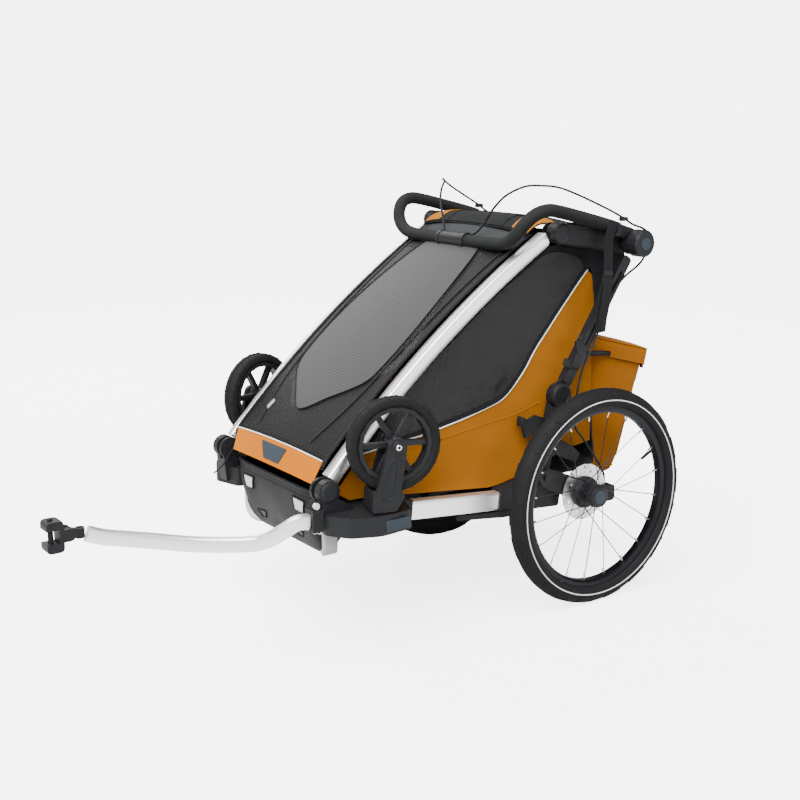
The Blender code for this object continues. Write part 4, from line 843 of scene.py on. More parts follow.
def makeFrontCover():
    half, head = coverForm["half"], coverForm["head"]
    outward = (0, -0.6, 0.8)
    sheet = [(half, 0.030), (half, head), (-half, head), (-half, 0.030)]
    film = spreadCloth("frontCoverFilm", sheet, onCover, "smokedFilm", outward, thickness=0.0008)
    window = smoothLine(mirrorOutline(coverForm["window"]), 0.02, closed=True)
    mesh = spreadCloth(
        "frontCoverMesh", window, lambda p: onCover(p, 0.0012), "meshCloth", outward, thickness=0.0008
    )
    (lowX, lowS), (topX, topS) = coverForm["strip"]
    stripCut = [(lowX, lowS), (topX, topS), (-topX, topS), (-lowX, lowS)]
    # The strip's amber carries painted light for its up-facing face
    strip = spreadCloth(
        "frontCoverStrip", stripCut, lambda p: onCover(p, 0.0016), "stripClothPaintedLight", outward, 0.010, 0.0016
    )
    (narrow, low), (wide, high) = coverForm["badge"]
    badgeCut = [(narrow, low), (wide, high), (-wide, high), (-narrow, low)]
    badge = spreadCloth(
        "frontCoverBadge", badgeCut, lambda p: onCover(p, 0.0034), "slateNylon", outward, 0.010, 0.002
    )
    start = coverForm["header"]
    headerCut = [(half, start), (half, head), (-half, head), (-half, start)]
    header = spreadCloth("frontCoverHeader", headerCut, lambda p: onCover(p, 0.0014), "darkCloth", outward)
    extras = [mesh, strip, badge, header]
    piping = [onCover((topX * (1 - k / 12), topS + 0.001), 0.0022) for k in range(25)]
    extras.append(sweep("frontCoverPiping", piping, circleSection(0.0015), "whiteNylon"))
    for way, side in ((1, "Left"), (-1, "Right")):
        edge = [onCover((way * (half - 0.0045), 0.035 + (head - 0.037) * k / 30), 0.0012) for k in range(31)]
        seam = [onCover((way * p.x, p.y), 0.0012) for p in smoothLine(coverForm["seam"], 0.02)]
        rows = (("coverWelt", edge, 0.009, 0.0042), ("coverSeam", seam, 0.005, 0.0012))
        for name, path, width, tall in rows:
            section = flatSection(width, tall)
            extras.append(sweep(name + side, path, section, "blackCloth", side=(way, 0, 0), uv=True))
    tag = spreadCloth(
        "coverTag", coverForm["tag"], lambda p: onCover(p, 0.002), "greyTag", outward, 0.006, 0.001
    )
    rim = [onCover(p, 0.0022) for p in window]
    hem = sweep(
        "coverWindowHem", rim, flatSection(0.003, 0.001), "blackCloth", side=(0, -0.632, 0.775), closed=True
    )
    extras += [tag, hem]
    declareSheet(film, extras)
    for piece in [film, *extras]:
        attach(piece, "front_frame")
    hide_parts("front_cover")


# Side panels: amber cloth below a curved white piping, a tinted window above it with a black border, and a
# black gusset at the back
sideForm = {
    "x": 0.2008, "belly": 0.001,
    "piping": [
        (-0.575, 0.418), (-0.520, 0.424), (-0.455, 0.431), (-0.388, 0.441), (-0.331, 0.451), (-0.276, 0.463),
        (-0.234, 0.474), (-0.206, 0.484), (-0.181, 0.501), (-0.157, 0.524), (-0.135, 0.552), (-0.114, 0.581),
        (-0.086, 0.615), (-0.049, 0.657), (-0.013, 0.697), (0.016, 0.729), (0.042, 0.756),
    ],
    "filmTop": [
        (-0.548, 0.440), (-0.500, 0.500), (-0.469, 0.535), (-0.365, 0.614), (-0.231, 0.715), (-0.119, 0.783),
        (-0.090, 0.798), (-0.061, 0.803), (-0.022, 0.799), (0.010, 0.788), (0.030, 0.770), (0.036, 0.756),
    ],
    "rear": [
        (0.058, 0.742), (0.064, 0.704), (0.066, 0.640), (0.064, 0.570), (0.062, 0.500), (0.062, 0.420),
        (0.064, 0.352), (0.010, 0.345), (-0.060, 0.350), (-0.090, 0.312),
    ],
    "foot": [
        (-0.215, 0.2895), (-0.240, 0.2885), (-0.465, 0.3120), (-0.495, 0.3215), (-0.606, 0.3245),
        (-0.640, 0.345),
    ],
    "bandRear": [(-0.045, 0.822), (0.022, 0.802), (0.050, 0.772), (0.046, 0.757)],
    "gusset": [
        (-0.040, 0.811), (-0.010, 0.806), (0.020, 0.792), (0.045, 0.768), (0.058, 0.742), (0.063, 0.704),
    ],
    "crown": [
        (0.068, 0.661), (0.078, 0.687), (0.106, 0.727), (0.152, 0.755), (0.158, 0.790), (0.150, 0.826),
        (-0.060, 0.848),
    ],
    "seam": [(-0.560, 0.405), (-0.381, 0.419), (-0.276, 0.432), (-0.169, 0.445), (-0.096, 0.464)],
    "elastic": [(-0.224, 0.509), (-0.193, 0.534)],
}


def onSide(spot, lift=0.0):
    y, z = spot
    reach = max(0.0, 1 - ((y + 0.27) / 0.36) ** 2)
    reach *= max(0.0, 1 - ((z - 0.30 - 0.45 * (y + 0.55)) / 0.36) ** 2)
    crease = 0.0011 * sin(38 * y + 52 * z) * sin(17 * y - 9 * z) * reach
    return at(sideForm["x"] - 0.0008 - sideForm["belly"] * reach + crease + lift, y, z)


def makeSidePanel(way, side):
    piping = smoothLine(sideForm["piping"], 0.015)
    top = [onTube(0.060 + 0.655 * k / 20, -0.0185) for k in range(21)]
    film = smoothLine(sideForm["filmTop"], 0.02)

    def lay(name, outline, finish, lift=0.0, thickness=0.0012):
        def place(spot):
            p = onSide(spot, lift)
            return Vector((way * p.x, p.y, p.z))

        return spreadCloth(name + side, outline, place, finish, (way, 0, 0), thickness=thickness)

    def line(name, points, section, finish, lift, step=0.015):
        path = [onSide(p, lift) for p in smoothLine(points, step)]
        path = [Vector((way * p.x, p.y, p.z)) for p in path]
        across = (way, 0, 0) if len(section) == 8 else None
        return sweep(name + side, path, section, finish, side=across, uv=True)

    rear, foot, bandRear, gussetCut = (
        [Vector(p) for p in sideForm[part]] for part in ("rear", "foot", "bandRear", "gusset")
    )
    underFilm = [p + Vector((0.0, 0.001)) for p in reversed(piping)]
    amber = lay("sideAmber", piping + rear + foot, "amberCloth")
    tinted = lay("sideFilm", film + underFilm, "tintedFilm")
    band = lay("sideBorder", top + bandRear + film[::-1], "blackCloth", 0.0008)
    gusset = lay("sideGusset", gussetCut + [Vector(p) for p in sideForm["crown"]], "blackCloth", 0.0010)
    binding = [(y - 0.003, z + 0.0055) for y, z in sideForm["piping"]]
    extras = [
        line("sidePiping", sideForm["piping"], circleSection(0.0017), "whiteNylon", 0.0008),
        line("sideBinding", binding, flatSection(0.0024, 0.010), "blackCloth", 0.0004),
        line("sideSeam", sideForm["seam"], circleSection(0.0010), "amberCloth", 0.0002),
        line("sideFilmHem", sideForm["filmTop"], circleSection(0.0012), "blackCloth", 0.0014),
        line("sideGussetHem", sideForm["gusset"], circleSection(0.0020), "blackCloth", 0.0014),
        line("sideElastic", sideForm["elastic"], flatSection(0.0016, 0.007), "blackCloth", 0.0012),
    ]
    declareSheet(amber, extras[:3])
    declareSheet(tinted, [band, gusset, *extras[3:]])
    for piece in [amber, tinted, band, gusset, *extras]:
        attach(piece, "base")
        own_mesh(piece)
    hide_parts("side_panel_" + side.lower())


for way, side in ((1, "Left"), (-1, "Right")):
    tube = makeFrontTube(way, side)
    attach(tube, "front_frame")
    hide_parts("front_tube_" + side.lower())
    makeSidePanel(way, side)
makeFrontCover()
print("front tubes, cover and side panels are made")


# Roof: dark cloth over the upper arms, crowned, with seams, hems and an amber patch at each front corner
roofForm = {
    "front": -0.060, "rear": 0.181, "half": 0.1985, "crown": 0.013,
    "patch": [(0.1975, -0.056), (0.1975, 0.022), (0.152, 0.036), (0.134, 0.010), (0.140, -0.056)],
}


def onRoof(spot, lift=0.0):
    x, s = spot
    share = (s - roofForm["front"]) / (roofForm["rear"] - roofForm["front"])
    swell = roofForm["crown"] * (1 - (x / roofForm["half"]) ** 4)
    nose = 11 * min(s + 0.012, 0.0) ** 2
    p = onLine(topPivot, barPivot, s, 0.010 + 0.010 * (1 - (2 * share - 1) ** 2) + swell - nose + lift)
    narrow = 0.1920 / roofForm["half"] if s < 0.045 else 1.0
    return at(x * narrow, p.x, p.y)


def makeRoof():
    half, front, rear = roofForm["half"], roofForm["front"], roofForm["rear"]
    cut = [(half, front), (half, rear), (-half, rear), (-half, front)]
    roof = spreadCloth("roofCloth", cut, onRoof, "roofCloth", (0, 0, 1))
    extras = []

    def raised(spot):
        return onRoof(spot, 0.0024)

    for way, side in ((1, "Left"), (-1, "Right")):
        patch = [Vector((way * x, s)) for x, s in roofForm["patch"]]
        extras.append(spreadCloth("roofPatch" + side, patch, raised, "amberCloth", (0, 0, 1)))
        edge = [onRoof((way * x, s), 0.0022) for x, s in roofForm["patch"][1:]]
        extras.append(sweep("roofPatchSeam" + side, edge, circleSection(0.0010), "blackCloth"))
        run = [onRoof((way * 0.105, front + (rear - front) * k / 12), 0.0012) for k in range(13)]
        extras.append(sweep("roofSeam" + side, run, circleSection(0.0011), "blackCloth"))
    for name, s in (("roofFrontHem", front + 0.003), ("roofMidSeam", 0.062), ("roofRearHem", rear - 0.003)):
        across = [onRoof((half * (1 - k / 12), s), 0.0012) for k in range(25)]
        extras.append(sweep(name, across, circleSection(0.0014), "blackCloth"))
    declareSheet(roof, extras)
    for piece in [roof, *extras]:
        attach(piece, "upper_frame")
    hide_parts("roof")


makeRoof()
print("roof is made")


# Cargo bag: a hanging shell of amber cloth, rounded at its corners, bellied low down and drawn in where the
# straps pull, with a bound rim. Each level is (share of the height, share of the size, belly)
bagForm = {
    "frontLow": (0.092, 0.246), "frontHigh": (0.074, 0.566), "rearLow": (0.190, 0.240),
    "rearHigh": (0.262, 0.516), "halfLow": 0.150, "halfHigh": 0.181, "squareness": 0.22, "around": 72,
    "levels": [
        (0.004, 0.02, 0), (0.0, 0.45, 0), (0.002, 0.80, 0), (0.012, 0.93, 0), (0.035, 0.985, 0.001),
        (0.07, 1.0, 0.003), (0.13, 1.0, 0.006), (0.20, 1.0, 0.0085), (0.28, 1.0, 0.0095), (0.36, 1.0, 0.009),
        (0.44, 1.0, 0.007), (0.52, 1.0, 0.005), (0.60, 1.0, 0.0035), (0.68, 1.0, 0.002), (0.76, 1.0, 0.001),
        (0.84, 1.0, 0.0), (0.92, 1.0, 0.0), (0.97, 1.0, 0.0), (1.0, 1.0, 0.0),
    ],
}


def roundedTurn(turn, squareness):
    c, s = cos(turn), sin(turn)
    return (abs(c) ** squareness * (1 if c > 0 else -1), abs(s) ** squareness * (1 if s > 0 else -1))


def bagSpot(turn, level, size, belly):
    a, b = roundedTurn(turn, bagForm["squareness"])
    front = Vector(bagForm["frontLow"]).lerp(Vector(bagForm["frontHigh"]), level)
    rear = Vector(bagForm["rearLow"]).lerp(Vector(bagForm["rearHigh"]), level)
    half = bagForm["halfLow"] + (bagForm["halfHigh"] - bagForm["halfLow"]) * level
    middle = (front + rear) / 2
    fold = 0.0
    if 0.04 < level < 0.95:
        fold = 0.0026 * sin(5 * turn + 9 * level) * sin(3.1 * level) * sin(17 * level + 3 * turn)
    out = size + (belly * 0.6 + fold) / half
    p = middle + (rear - front) / 2 * b * (size + (fold + (belly * 0.35 if b > 0 else 0)) / 0.08)
    return at(half * a * out, p.x, p.y)


# A shell drawn out through rings, filled at its first ring and open at its last, with a wall's thickness
def loftShell(name, rings, finish, thickness):
    def flat(row, corner):
        p = rings[row][corner]
        return (p.x + p.y, p.z)

    shell = drawOut(name, rings, finish, ends=(0,), flat=flat)
    finishWith(shell, "SOLIDIFY", thickness=thickness, offset=-1)
    return smooth(shell, 60)


def makeBag():
    turns = [2 * pi * (k + 0.5) / bagForm["around"] for k in range(bagForm["around"])]
    rings = [[bagSpot(t, *row) for t in turns] for row in bagForm["levels"]]
    bag = loftShell("bagShell", rings, "bagCloth", 0.0016)
    extras = []
    for name, level in (("bagRimBinding", 0.985), ("bagLowSeam", 0.07)):
        loop = [bagSpot(t, level, 1.0, 0.0 if level > 0.5 else 0.003) for t in turns]
        middle = sum(loop, Vector()) / len(loop)
        loop = [p + (p - middle).normalized() * 0.0006 for p in loop]
        extras.append(sweep(name, loop, circleSection(0.0016, 8), "bagCloth", closed=True))
    for way, side in ((1, "Left"), (-1, "Right")):
        for name, turn in (("bagRearSeam", 0.815), ("bagFrontSeam", -0.815)):
            levels = [k / 24 for k in range(2, 24)]
            seam = [bagSpot(turn, level, 1.004, 0.006 * sin(pi * min(1.0, level * 1.4))) for level in levels]
            seam = [Vector((way * p.x, p.y, p.z)) for p in seam]
            extras.append(sweep(name + side, seam, circleSection(0.0013, 8), "bagCloth"))
    for piece in [bag, *extras]:
        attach(piece, "base")
    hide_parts("cargo_bag")


# Bag lid: a crowned flap on the bag's rim, with a hem that hangs over the edge
lidForm = {
    "corner": (0.0703, 0.5696), "slope": (0.9664, -0.2570), "length": 0.204, "half": 0.1855, "height": 0.028,
    "squareness": 0.16, "around": 72, "flat": (0.43, 0.27),
    "levels": [
        (-0.42, 1.0), (0.0, 1.0), (0.15, 1.003), (0.5, 1.002), (0.85, 1.0), (0.97, 0.992), (1.02, 0.975),
        (1.09, 0.93), (1.20, 0.80), (1.28, 0.60), (1.33, 0.35), (1.35, 0.10),
    ],
}


def lidSpot(turn, level, size):
    a, b = roundedTurn(turn, lidForm["squareness"])
    slope = Vector(lidForm["slope"])
    up = Vector((-slope.y, slope.x))
    length = lidForm["length"]
    wave = 0.0016 * sin(6 * turn) * min(1.0, level) if level < 1.1 else 0.0
    p = Vector(lidForm["corner"]) + slope * length * (0.5 + 0.5 * b * size) + up * (lidForm["height"] * level)
    return at(lidForm["half"] * a * size + wave * a, p.x, p.y)


def makeBagLid():
    turns = [2 * pi * (k + 0.5) / lidForm["around"] for k in range(lidForm["around"])]
    rings = [[lidSpot(t, *row) for t in turns] for row in reversed(lidForm["levels"])]
    lid = loftShell("lidCloth", rings, "bagCloth", 0.0018)
    extras = []
    for name, level in (("lidHem", -0.36), ("lidEdgeSeam", 0.97)):
        loop = [lidSpot(t, level, 1.004) for t in turns]
        extras.append(sweep(name, loop, circleSection(0.0014, 8), "bagCloth", closed=True))
    for piece in [lid, *extras]:
        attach(piece, "lid")
    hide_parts("bag_lid")


makeBag()
makeBagLid()
print("bag and lid are made")


# Seat: a pad and a back, each stuffed and drawn in by sewn channels. Each line runs through an underside
seatForms = {
    "seatPad": {
        "line": [(-0.396, 0.2905), (-0.148, 0.2920)], "half": 0.190, "thick": 0.042, "channels": 3,
        "node": "seat_pad",
    },
    "seatBack": {
        "line": [(0.042, 0.756), (-0.126, 0.334)], "half": 0.194, "thick": 0.030, "channels": 4,
        "node": "seat_back",
    },
}


def makeCushion(name):
    form = seatForms[name]
    start, end = (Vector(p) for p in form["line"])
    run = end - start
    up = Vector((-run.y, run.x)).normalized()
    if up.y < 0:
        up = -up
    columns, rows = 40, 36
    upper, lower = [], []
    for r in range(rows + 1):
        for c in range(columns + 1):
            x, t = 2 * c / columns - 1, r / rows
            full = (1 - abs(x) ** 5) * (1 - abs(2 * t - 1) ** 8)
            channel = abs(sin(pi * t * (form["channels"] + 1))) ** 0.5
            stuffing = 0.30 + 0.30 * full + 0.38 * channel * full
            body = form["thick"] * stuffing * (0.25 + 0.75 * min(1.0, full * 4))
            base = start + run * t
            upper.append(at(form["half"] * x, *(base + up * body)))
            lower.append(at(form["half"] * x, *(base + up * 0.0015 * (1 - full))))
    width = columns + 1
    faces, count = [], len(upper)
    for r in range(rows):
        for c in range(columns):
            a = r * width + c
            faces.append((a, a + 1, a + width + 1, a + width))
            faces.append((count + a, count + a + width, count + a + width + 1, count + a + 1))
    border = [c for c in range(width)] + [r * width + columns for r in range(1, rows + 1)]
    border += [rows * width + c for c in reversed(range(columns))]
    border += [r * width for r in reversed(range(1, rows))]
    for a, b in zip(border, border[1:] + border[:1]):
        faces.append((b, a, count + a, count + b))
    mesh = bpy.data.meshes.new(name)
    mesh.from_pydata(upper + lower, [], faces)
    layer = mesh.uv_layers.new(name="flatMetres")
    for loop in mesh.loops:
        r, c = divmod(loop.vertex_index % count, width)
        layer.data[loop.index].uv = (form["half"] * 2 * c / columns, run.length * r / rows)
    cushion = addObject(name, mesh, "seatCloth")
    settle(cushion)
    smooth(cushion, 60)
    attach(cushion, "base")
    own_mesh(cushion)
    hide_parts(form["node"])


for name in seatForms:
    makeCushion(name)


# Cabin liner: one dark sheet under and behind the seat, up to the roof
linerForm = [
    ((-0.3847, 0.2665), 0.1935), ((-0.140, 0.2690), 0.1935), ((-0.110, 0.2840), 0.1935),
    ((0.0580, 0.2840), 0.1935), ((0.0837, 0.2950), 0.1935), ((0.0702, 0.535), 0.182),
    ((0.0640, 0.564), 0.182), ((0.0704, 0.600), 0.182), ((0.100, 0.772), 0.198), ((0.104, 0.830), 0.198),
]


def makeLiner():
    spots = [Vector(p) for p, half in linerForm]
    reach = [0.0]
    for a, b in zip(spots, spots[1:]):
        reach.append(reach[-1] + (b - a).length)

    def lift(p):
        k = max(n for n in range(len(reach) - 1) if reach[n] <= max(0.0, p.y) + 1e-9)
        share = min(1.0, (p.y - reach[k]) / (reach[k + 1] - reach[k]))
        spot = spots[k].lerp(spots[k + 1], share)
        wave = 0.0012 * sin(30 * p.x) * sin(24 * p.y)
        return at(p.x, spot.x, spot.y + wave * (1 if k < 4 else 0))

    right = [Vector((half, s)) for s, (p, half) in zip(reach, linerForm)]
    cut = right + [Vector((-p.x, p.y)) for p in reversed(right)]
    liner = spreadCloth("linerCloth", cut, lift, "darkCloth", (0, -0.5, 0.5), 0.02, 0.0015)
    declareSheet(liner)
    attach(liner, "base")
    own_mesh(liner)
    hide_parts("cabin_liner")


makeLiner()


# Harness: two shoulder straps crossing in front of the seat back, held by a buckle over the pad
harnessForm = {
    "left": [
        (0.075, 0.010, 0.712), (0.060, -0.060, 0.560), (0.010, -0.115, 0.455), (-0.030, -0.165, 0.385),
        (-0.060, -0.215, 0.345),
    ],
    "buckle": [(-0.024, -0.137, 0.412), (0.024, -0.121, 0.464)], "width": 0.028,
}


def makeHarness():
    extras = []
    for way, side in ((1, "Left"), (-1, "Right")):
        path = [at(way * x, y + 0.004 * way, z + 0.002 * way) for x, y, z in harnessForm["left"]]
        path = smoothLine(path, 0.012)
        section = flatSection(harnessForm["width"], 0.0022)
        extras.append(sweep("harness" + side, path, section, "blackCloth", side=(1, 0, 0.3 * way), uv=True))
    low, high = (at(*corner) for corner in harnessForm["buckle"])
    extras.append(block("harnessBuckle", low, high, "blackNylon", 0.005, 3))
    for piece in extras:
        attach(piece, "base")
        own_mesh(piece)


makeHarness()
print("seat, liner and harness are made")


# A closed profile spun right round the across axis. Each corner is (across from the middle, radius)
def spun(name, profile, centre, finish, steps=144, angle=35):
    deselectAll()
    bpy.ops.mesh.primitive_circle_add(vertices=len(profile), radius=1, fill_type="NOTHING")
    piece = bpy.context.object
    piece.name = piece.data.name = name
    for vertex, (across, radius) in zip(piece.data.vertices, profile):
        vertex.co = Vector(centre) + Vector((across, 0, radius))
    bpy.ops.object.mode_set(mode="EDIT")
    bpy.ops.mesh.select_all(action="SELECT")
    bpy.ops.mesh.spin(steps=steps, angle=2 * pi, center=centre, axis=(1, 0, 0))
    bpy.ops.object.mode_set(mode="OBJECT")
    piece.data.materials.append(finishes[finish])
    return smooth(settle(piece), angle)


def joined(name, pieces):
    deselectAll()
    for piece in pieces:
        piece.select_set(True)
    bpy.context.view_layer.objects.active = pieces[0]
    bpy.ops.object.join()
    pieces[0].name = name
    return pieces[0]


# Big wheels: a round tyre with a shouldered tread and a reflecting ring, a black rim, nipples and a valve.
# Each flange is (across, radius, lag of its spokes in degrees)
wheelForm = {
    "across": 0.2955, "up": 0.250, "section": 0.0235, "foot": 0.2098, "spokes": 20, "ringRadius": 0.2262,
    "rim": [
        (0.0128, 0.2094), (0.0112, 0.2094), (0.0100, 0.2060), (-0.0100, 0.2060), (-0.0112, 0.2094),
        (-0.0128, 0.2094), (-0.0128, 0.2010), (-0.0095, 0.1957), (-0.0050, 0.1947), (0.0050, 0.1947),
        (0.0095, 0.1957), (0.0128, 0.2010),
    ],
    "innerFlange": (0.2688, 0.030, 54), "outerFlange": (0.2920, 0.024, 46), "shoulders": 18, "valveTurn": 25,
    "shoulder": [
        (-0.115, 0.72), (-0.075, 1.20), (0.075, 1.20), (0.115, 0.72), (0.075, 0.60), (-0.075, 0.60),
        (-0.115, 0.72),
    ],
    "ribs": (-0.0075, 0.0, 0.0075), "valve": (0.1949, 0.180, 0.1795, 0.160, 0.1595, 0.155),
}


def onWheel(across, radius, turn):
    return at(across, radius * cos(turn), wheelForm["up"] + radius * sin(turn))


def makeTyre(way, side):
    form = wheelForm
    centre = at(way * form["across"], 0, form["up"])
    middle = form["up"] - form["section"]
    turns = [2 * pi * k / 28 for k in range(28)]
    arc = [(form["section"] * sin(t), middle + form["section"] * cos(t)) for t in turns]
    profile = [(a, max(r, form["foot"])) for a, r in arc if r > form["foot"] - 0.004]
    tyre = spun("tyreRubber" + side, profile, centre, "tyre", 160, 60)
    pieces = []
    outline = splitEdges(form["shoulder"], 0.05)[:-1] + [Vector(form["shoulder"][0])]
    r = form["section"] + 0.0001
    for k in range(form["shoulders"]):
        base = 2 * pi * k / form["shoulders"]
        for face in (1, -1):
            path = []
            for turn, lean in outline:
                across = way * form["across"] + face * r * sin(lean)
                path.append(onWheel(across, middle + r * cos(lean), base + turn))
            pieces.append(sweep("tread", path, circleSection(0.0014, 5), "tyre"))
    for across in form["ribs"]:
        lift = sqrt(form["section"] ** 2 - across ** 2) - 0.0002
        rib = [onWheel(way * form["across"] + across, middle + lift, 2 * pi * k / 160) for k in range(160)]
        pieces.append(sweep("tread", rib, circleSection(0.0009, 5), "tyre", closed=True))
    tread = joined("tyreTread" + side, pieces)
    edge, radius = form["section"] * 0.9965, form["ringRadius"]
    corners = ((-0.0015, -0.0016), (0.0004, -0.0012), (0.0004, 0.0012), (-0.0015, 0.0016))
    band = [(way * (edge + out), radius + up) for out, up in corners]
    ring = spun("reflectingRing" + side, band, centre, "reflective", 160)
    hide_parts("tyre_" + side.lower())
    return [tyre, tread, ring]


def makeRim(way, side):
    form = wheelForm
    rim = spun("blackRim" + side, form["rim"], at(way * form["across"], 0, form["up"]), "blackRim", 144, 25)
    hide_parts("rim_" + side.lower())
    nipples = []
    for k in range(form["spokes"]):
        flange, reach, lag = form["innerFlange"] if k % 2 == 0 else form["outerFlange"]
        rimTurn = 2 * pi * (k + 0.5) / form["spokes"]
        hubTurn = rimTurn + (1 if k // 2 % 2 == 0 else -1) * radians(lag)
        tip = onWheel(way * form["across"], form["rim"][8][1] - 0.0004, rimTurn)
        root = onWheel(way * flange, reach, hubTurn)
        run = (root - tip).normalized()
        path = [tip, tip + run * 0.0015, tip + run * 0.011, tip + run * 0.0125]
        nipples.append(sweep("nipple", path, circleSection(0.0022, 8), "nickel"))
    nipples = joined("spokeNipples" + side, nipples)
    turn = radians(form["valveTurn"])
    stem = [onWheel(way * form["across"], r, turn) for r in form["valve"]]
    valve = sweep("valveStem" + side, stem, circleSection(0.0032, 12), "blackNylon")
    return [rim, nipples, valve]


# Hub furniture: a machined ring round the button, and the rotor's bolts. Each ring is (radius, height)
hubForm = {
    "across": 0.3082, "boltAcross": 0.2532, "boltCircle": 0.046, "bolts": 6,
    "collar": [(0.0235, -0.002), (0.0235, 0.0006), (0.0222, 0.0014), (0.0172, 0.0014), (0.0172, -0.001)],
    "bolt": [(0.0032, 0.0), (0.0032, 0.0014), (0.0024, 0.0019), (0.0012, 0.0019), (0.0012, 0.0010)],
}


def makeHubTrim(way, side):
    axis = (way, 0, 0)
    centre = at(way * hubForm["across"], 0, wheelForm["up"])
    collar = turned("hubCollar" + side, centre, axis, hubForm["collar"], "blackCasting")
    bolts = []
    for k in range(hubForm["bolts"]):
        turn = 2 * pi * (k + 0.5) / hubForm["bolts"]
        spot = onWheel(way * hubForm["boltAcross"], hubForm["boltCircle"], turn)
        bolts.append(turned("rotorBolt", spot, axis, hubForm["bolt"], "nickel", 12))
    return [collar, joined("rotorBolts" + side, bolts)]


for way, side in ((1, "Left"), (-1, "Right")):
    for piece in makeTyre(way, side) + makeRim(way, side) + makeHubTrim(way, side):
        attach(piece, "wheel_" + side.lower())
print("big wheels are made")


# Stroller wheels, parked on their forks and turned a little outwards
casterForm = {
    "stem": (0.275, -0.579), "toe": 15, "setback": 0.028, "up": 0.454,
    "radius": 0.098, "half": 0.0172, "inner": 0.0788, "blocks": 26,
}


# A place across and along from the stem, turned outwards with the wheel
def casterSpot(across, along, up):
    c, s = cos(radians(-casterForm["toe"])), sin(radians(-casterForm["toe"]))
    stemX, stemY = casterForm["stem"]
    return at(stemX + across * c - along * s, stemY + across * s + along * c, up)


# Pieces made for the left side ride on its body, and a mirrored copy of each rides on the right one
def ridePair(pieces, body, paired=True):
    for piece in pieces:
        name = piece.name
        twin = mirrored(piece, name + "Right")
        piece.name = name + "Left"
        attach(piece, body + "_left" if paired else body)
        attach(twin, body + "_right" if paired else body)


# The stroller tyre: a square-shouldered section spun round, then turned outwards with its wheel
def makeCasterTyre():
    half, inner, outer = casterForm["half"], casterForm["inner"], casterForm["radius"]
    right = [
        (half - 0.004, inner), (half, inner + 0.005), (half, outer - 0.007), (half - 0.002, outer - 0.003),
        (half - 0.006, outer - 0.0008), (0.004, outer), (0.003, outer - 0.0016),
    ]
    profile = right + [(-across, radius) for across, radius in reversed(right)]
    stemX, stemY = casterForm["stem"]
    centre = at(stemX, stemY + casterForm["setback"], casterForm["up"])
    tyre = spun("casterTyre", profile, centre, "tyre", 96, 30)
    edge = (
        (0.005, outer - 0.0002, 0.0), (half - 0.004, outer - 0.0010, 0.02),
        (half + 0.0002, outer - 0.009, 0.03),
    )
    pieces = []
    for k in range(casterForm["blocks"]):
        turn = 2 * pi * k / casterForm["blocks"]
        for face in (1, -1):
            path = []
            for across, radius, lag in edge:
                spin = turn + lag
                path.append(centre + Vector((face * across, radius * cos(spin), radius * sin(spin))))
            pieces.append(sweep("tread", path, circleSection(0.0012, 5), "tyre"))
    tread = joined("casterTread", pieces)
    for piece in (tyre, tread):
        tilt(piece, at(stemX, stemY, casterForm["up"]), -casterForm["toe"], "Z")
    return [tyre, tread]


# Fork: a boss and a bolt on each cheek, and the raised rim of the outer cheek's panel
forkForm = {
    "face": 0.0305,
    "boss": [(0.0135, -0.002), (0.0135, 0.0022), (0.0120, 0.0034), (0.0080, 0.0034), (0.0075, 0.0026)],
    "bolt": [(0.0062, 0.0020), (0.0062, 0.0044), (0.0052, 0.0052), (0.0030, 0.0052), (0.0028, 0.0030)],
    "panel": [
        (-0.030, -0.106), (-0.008, -0.100), (0.008, -0.040), (0.002, -0.026), (-0.016, -0.030),
        (-0.036, -0.090),
    ],
}


def makeForkTrim():
    toe = radians(-casterForm["toe"])
    outward = Vector((cos(toe), sin(toe), 0))
    hub = casterSpot(0, casterForm["setback"], casterForm["up"])
    face = forkForm["face"]
    pieces = []
    for axis, name in ((outward, "Outer"), (-outward, "Inner")):
        spot = hub + axis * face
        pieces.append(turned("forkBoss" + name, spot, axis, forkForm["boss"], "blackNylon", 36))
        pieces.append(turned("forkBolt" + name, spot, axis, forkForm["bolt"], "nickel", 24))
    path = [
        casterSpot(face - 0.0002, casterForm["setback"] + y, casterForm["up"] + z)
        for y, z in forkForm["panel"]
    ]
    rim = smoothLine(path, 0.006, closed=True)
    pieces.append(sweep("forkPanelRim", rim, circleSection(0.0017, 8), "blackNylon", closed=True))
    return pieces


ridePair(makeCasterTyre(), "stroller_wheel")
ridePair(makeForkTrim(), "fork")
for side in ("Left", "Right"):
    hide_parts("caster_tyre_" + side.lower())
print("stroller wheels are trimmed")


# Footwell tub: a moulded bucket with a deep rounded nose. Each level is (up, front, rear, half width)
tubForm = {
    "levels": [
        (0.1965, -0.6320, -0.6240, 0.105), (0.1985, -0.6375, -0.6180, 0.130),
        (0.2040, -0.6430, -0.6110, 0.142), (0.2150, -0.6490, -0.6020, 0.152),
        (0.2300, -0.6550, -0.5950, 0.160), (0.2420, -0.6600, -0.5800, 0.1655),
        (0.2480, -0.6625, -0.5000, 0.1690), (0.2520, -0.6640, -0.4450, 0.1710),
        (0.2600, -0.6665, -0.3900, 0.1740), (0.2800, -0.6715, -0.3860, 0.1790),
        (0.3050, -0.6745, -0.3850, 0.1825), (0.3300, -0.6750, -0.3850, 0.1840),
        (0.3440, -0.6735, -0.3850, 0.1845),
    ],
    "squareness": 0.24, "around": 96, "sideHalf": 0.1670, "narrowFrom": -0.655,
    "reflector": [(0.087, 0.318), (0.132, 0.316), (0.126, 0.288), (0.092, 0.290)],
    "notch": [(0.060, 0.243), (0.100, 0.238), (0.086, 0.222), (0.070, 0.224)],
    "facets": [[(0.104, 0.3175), (0.101, 0.2895)], [(0.118, 0.3170), (0.112, 0.2885)]],
    "cord": [
        (0.186, -0.664, 0.372), (0.190, -0.676, 0.352), (0.193, -0.690, 0.330), (0.197, -0.704, 0.316),
        (0.200, -0.716, 0.306),
    ],
}


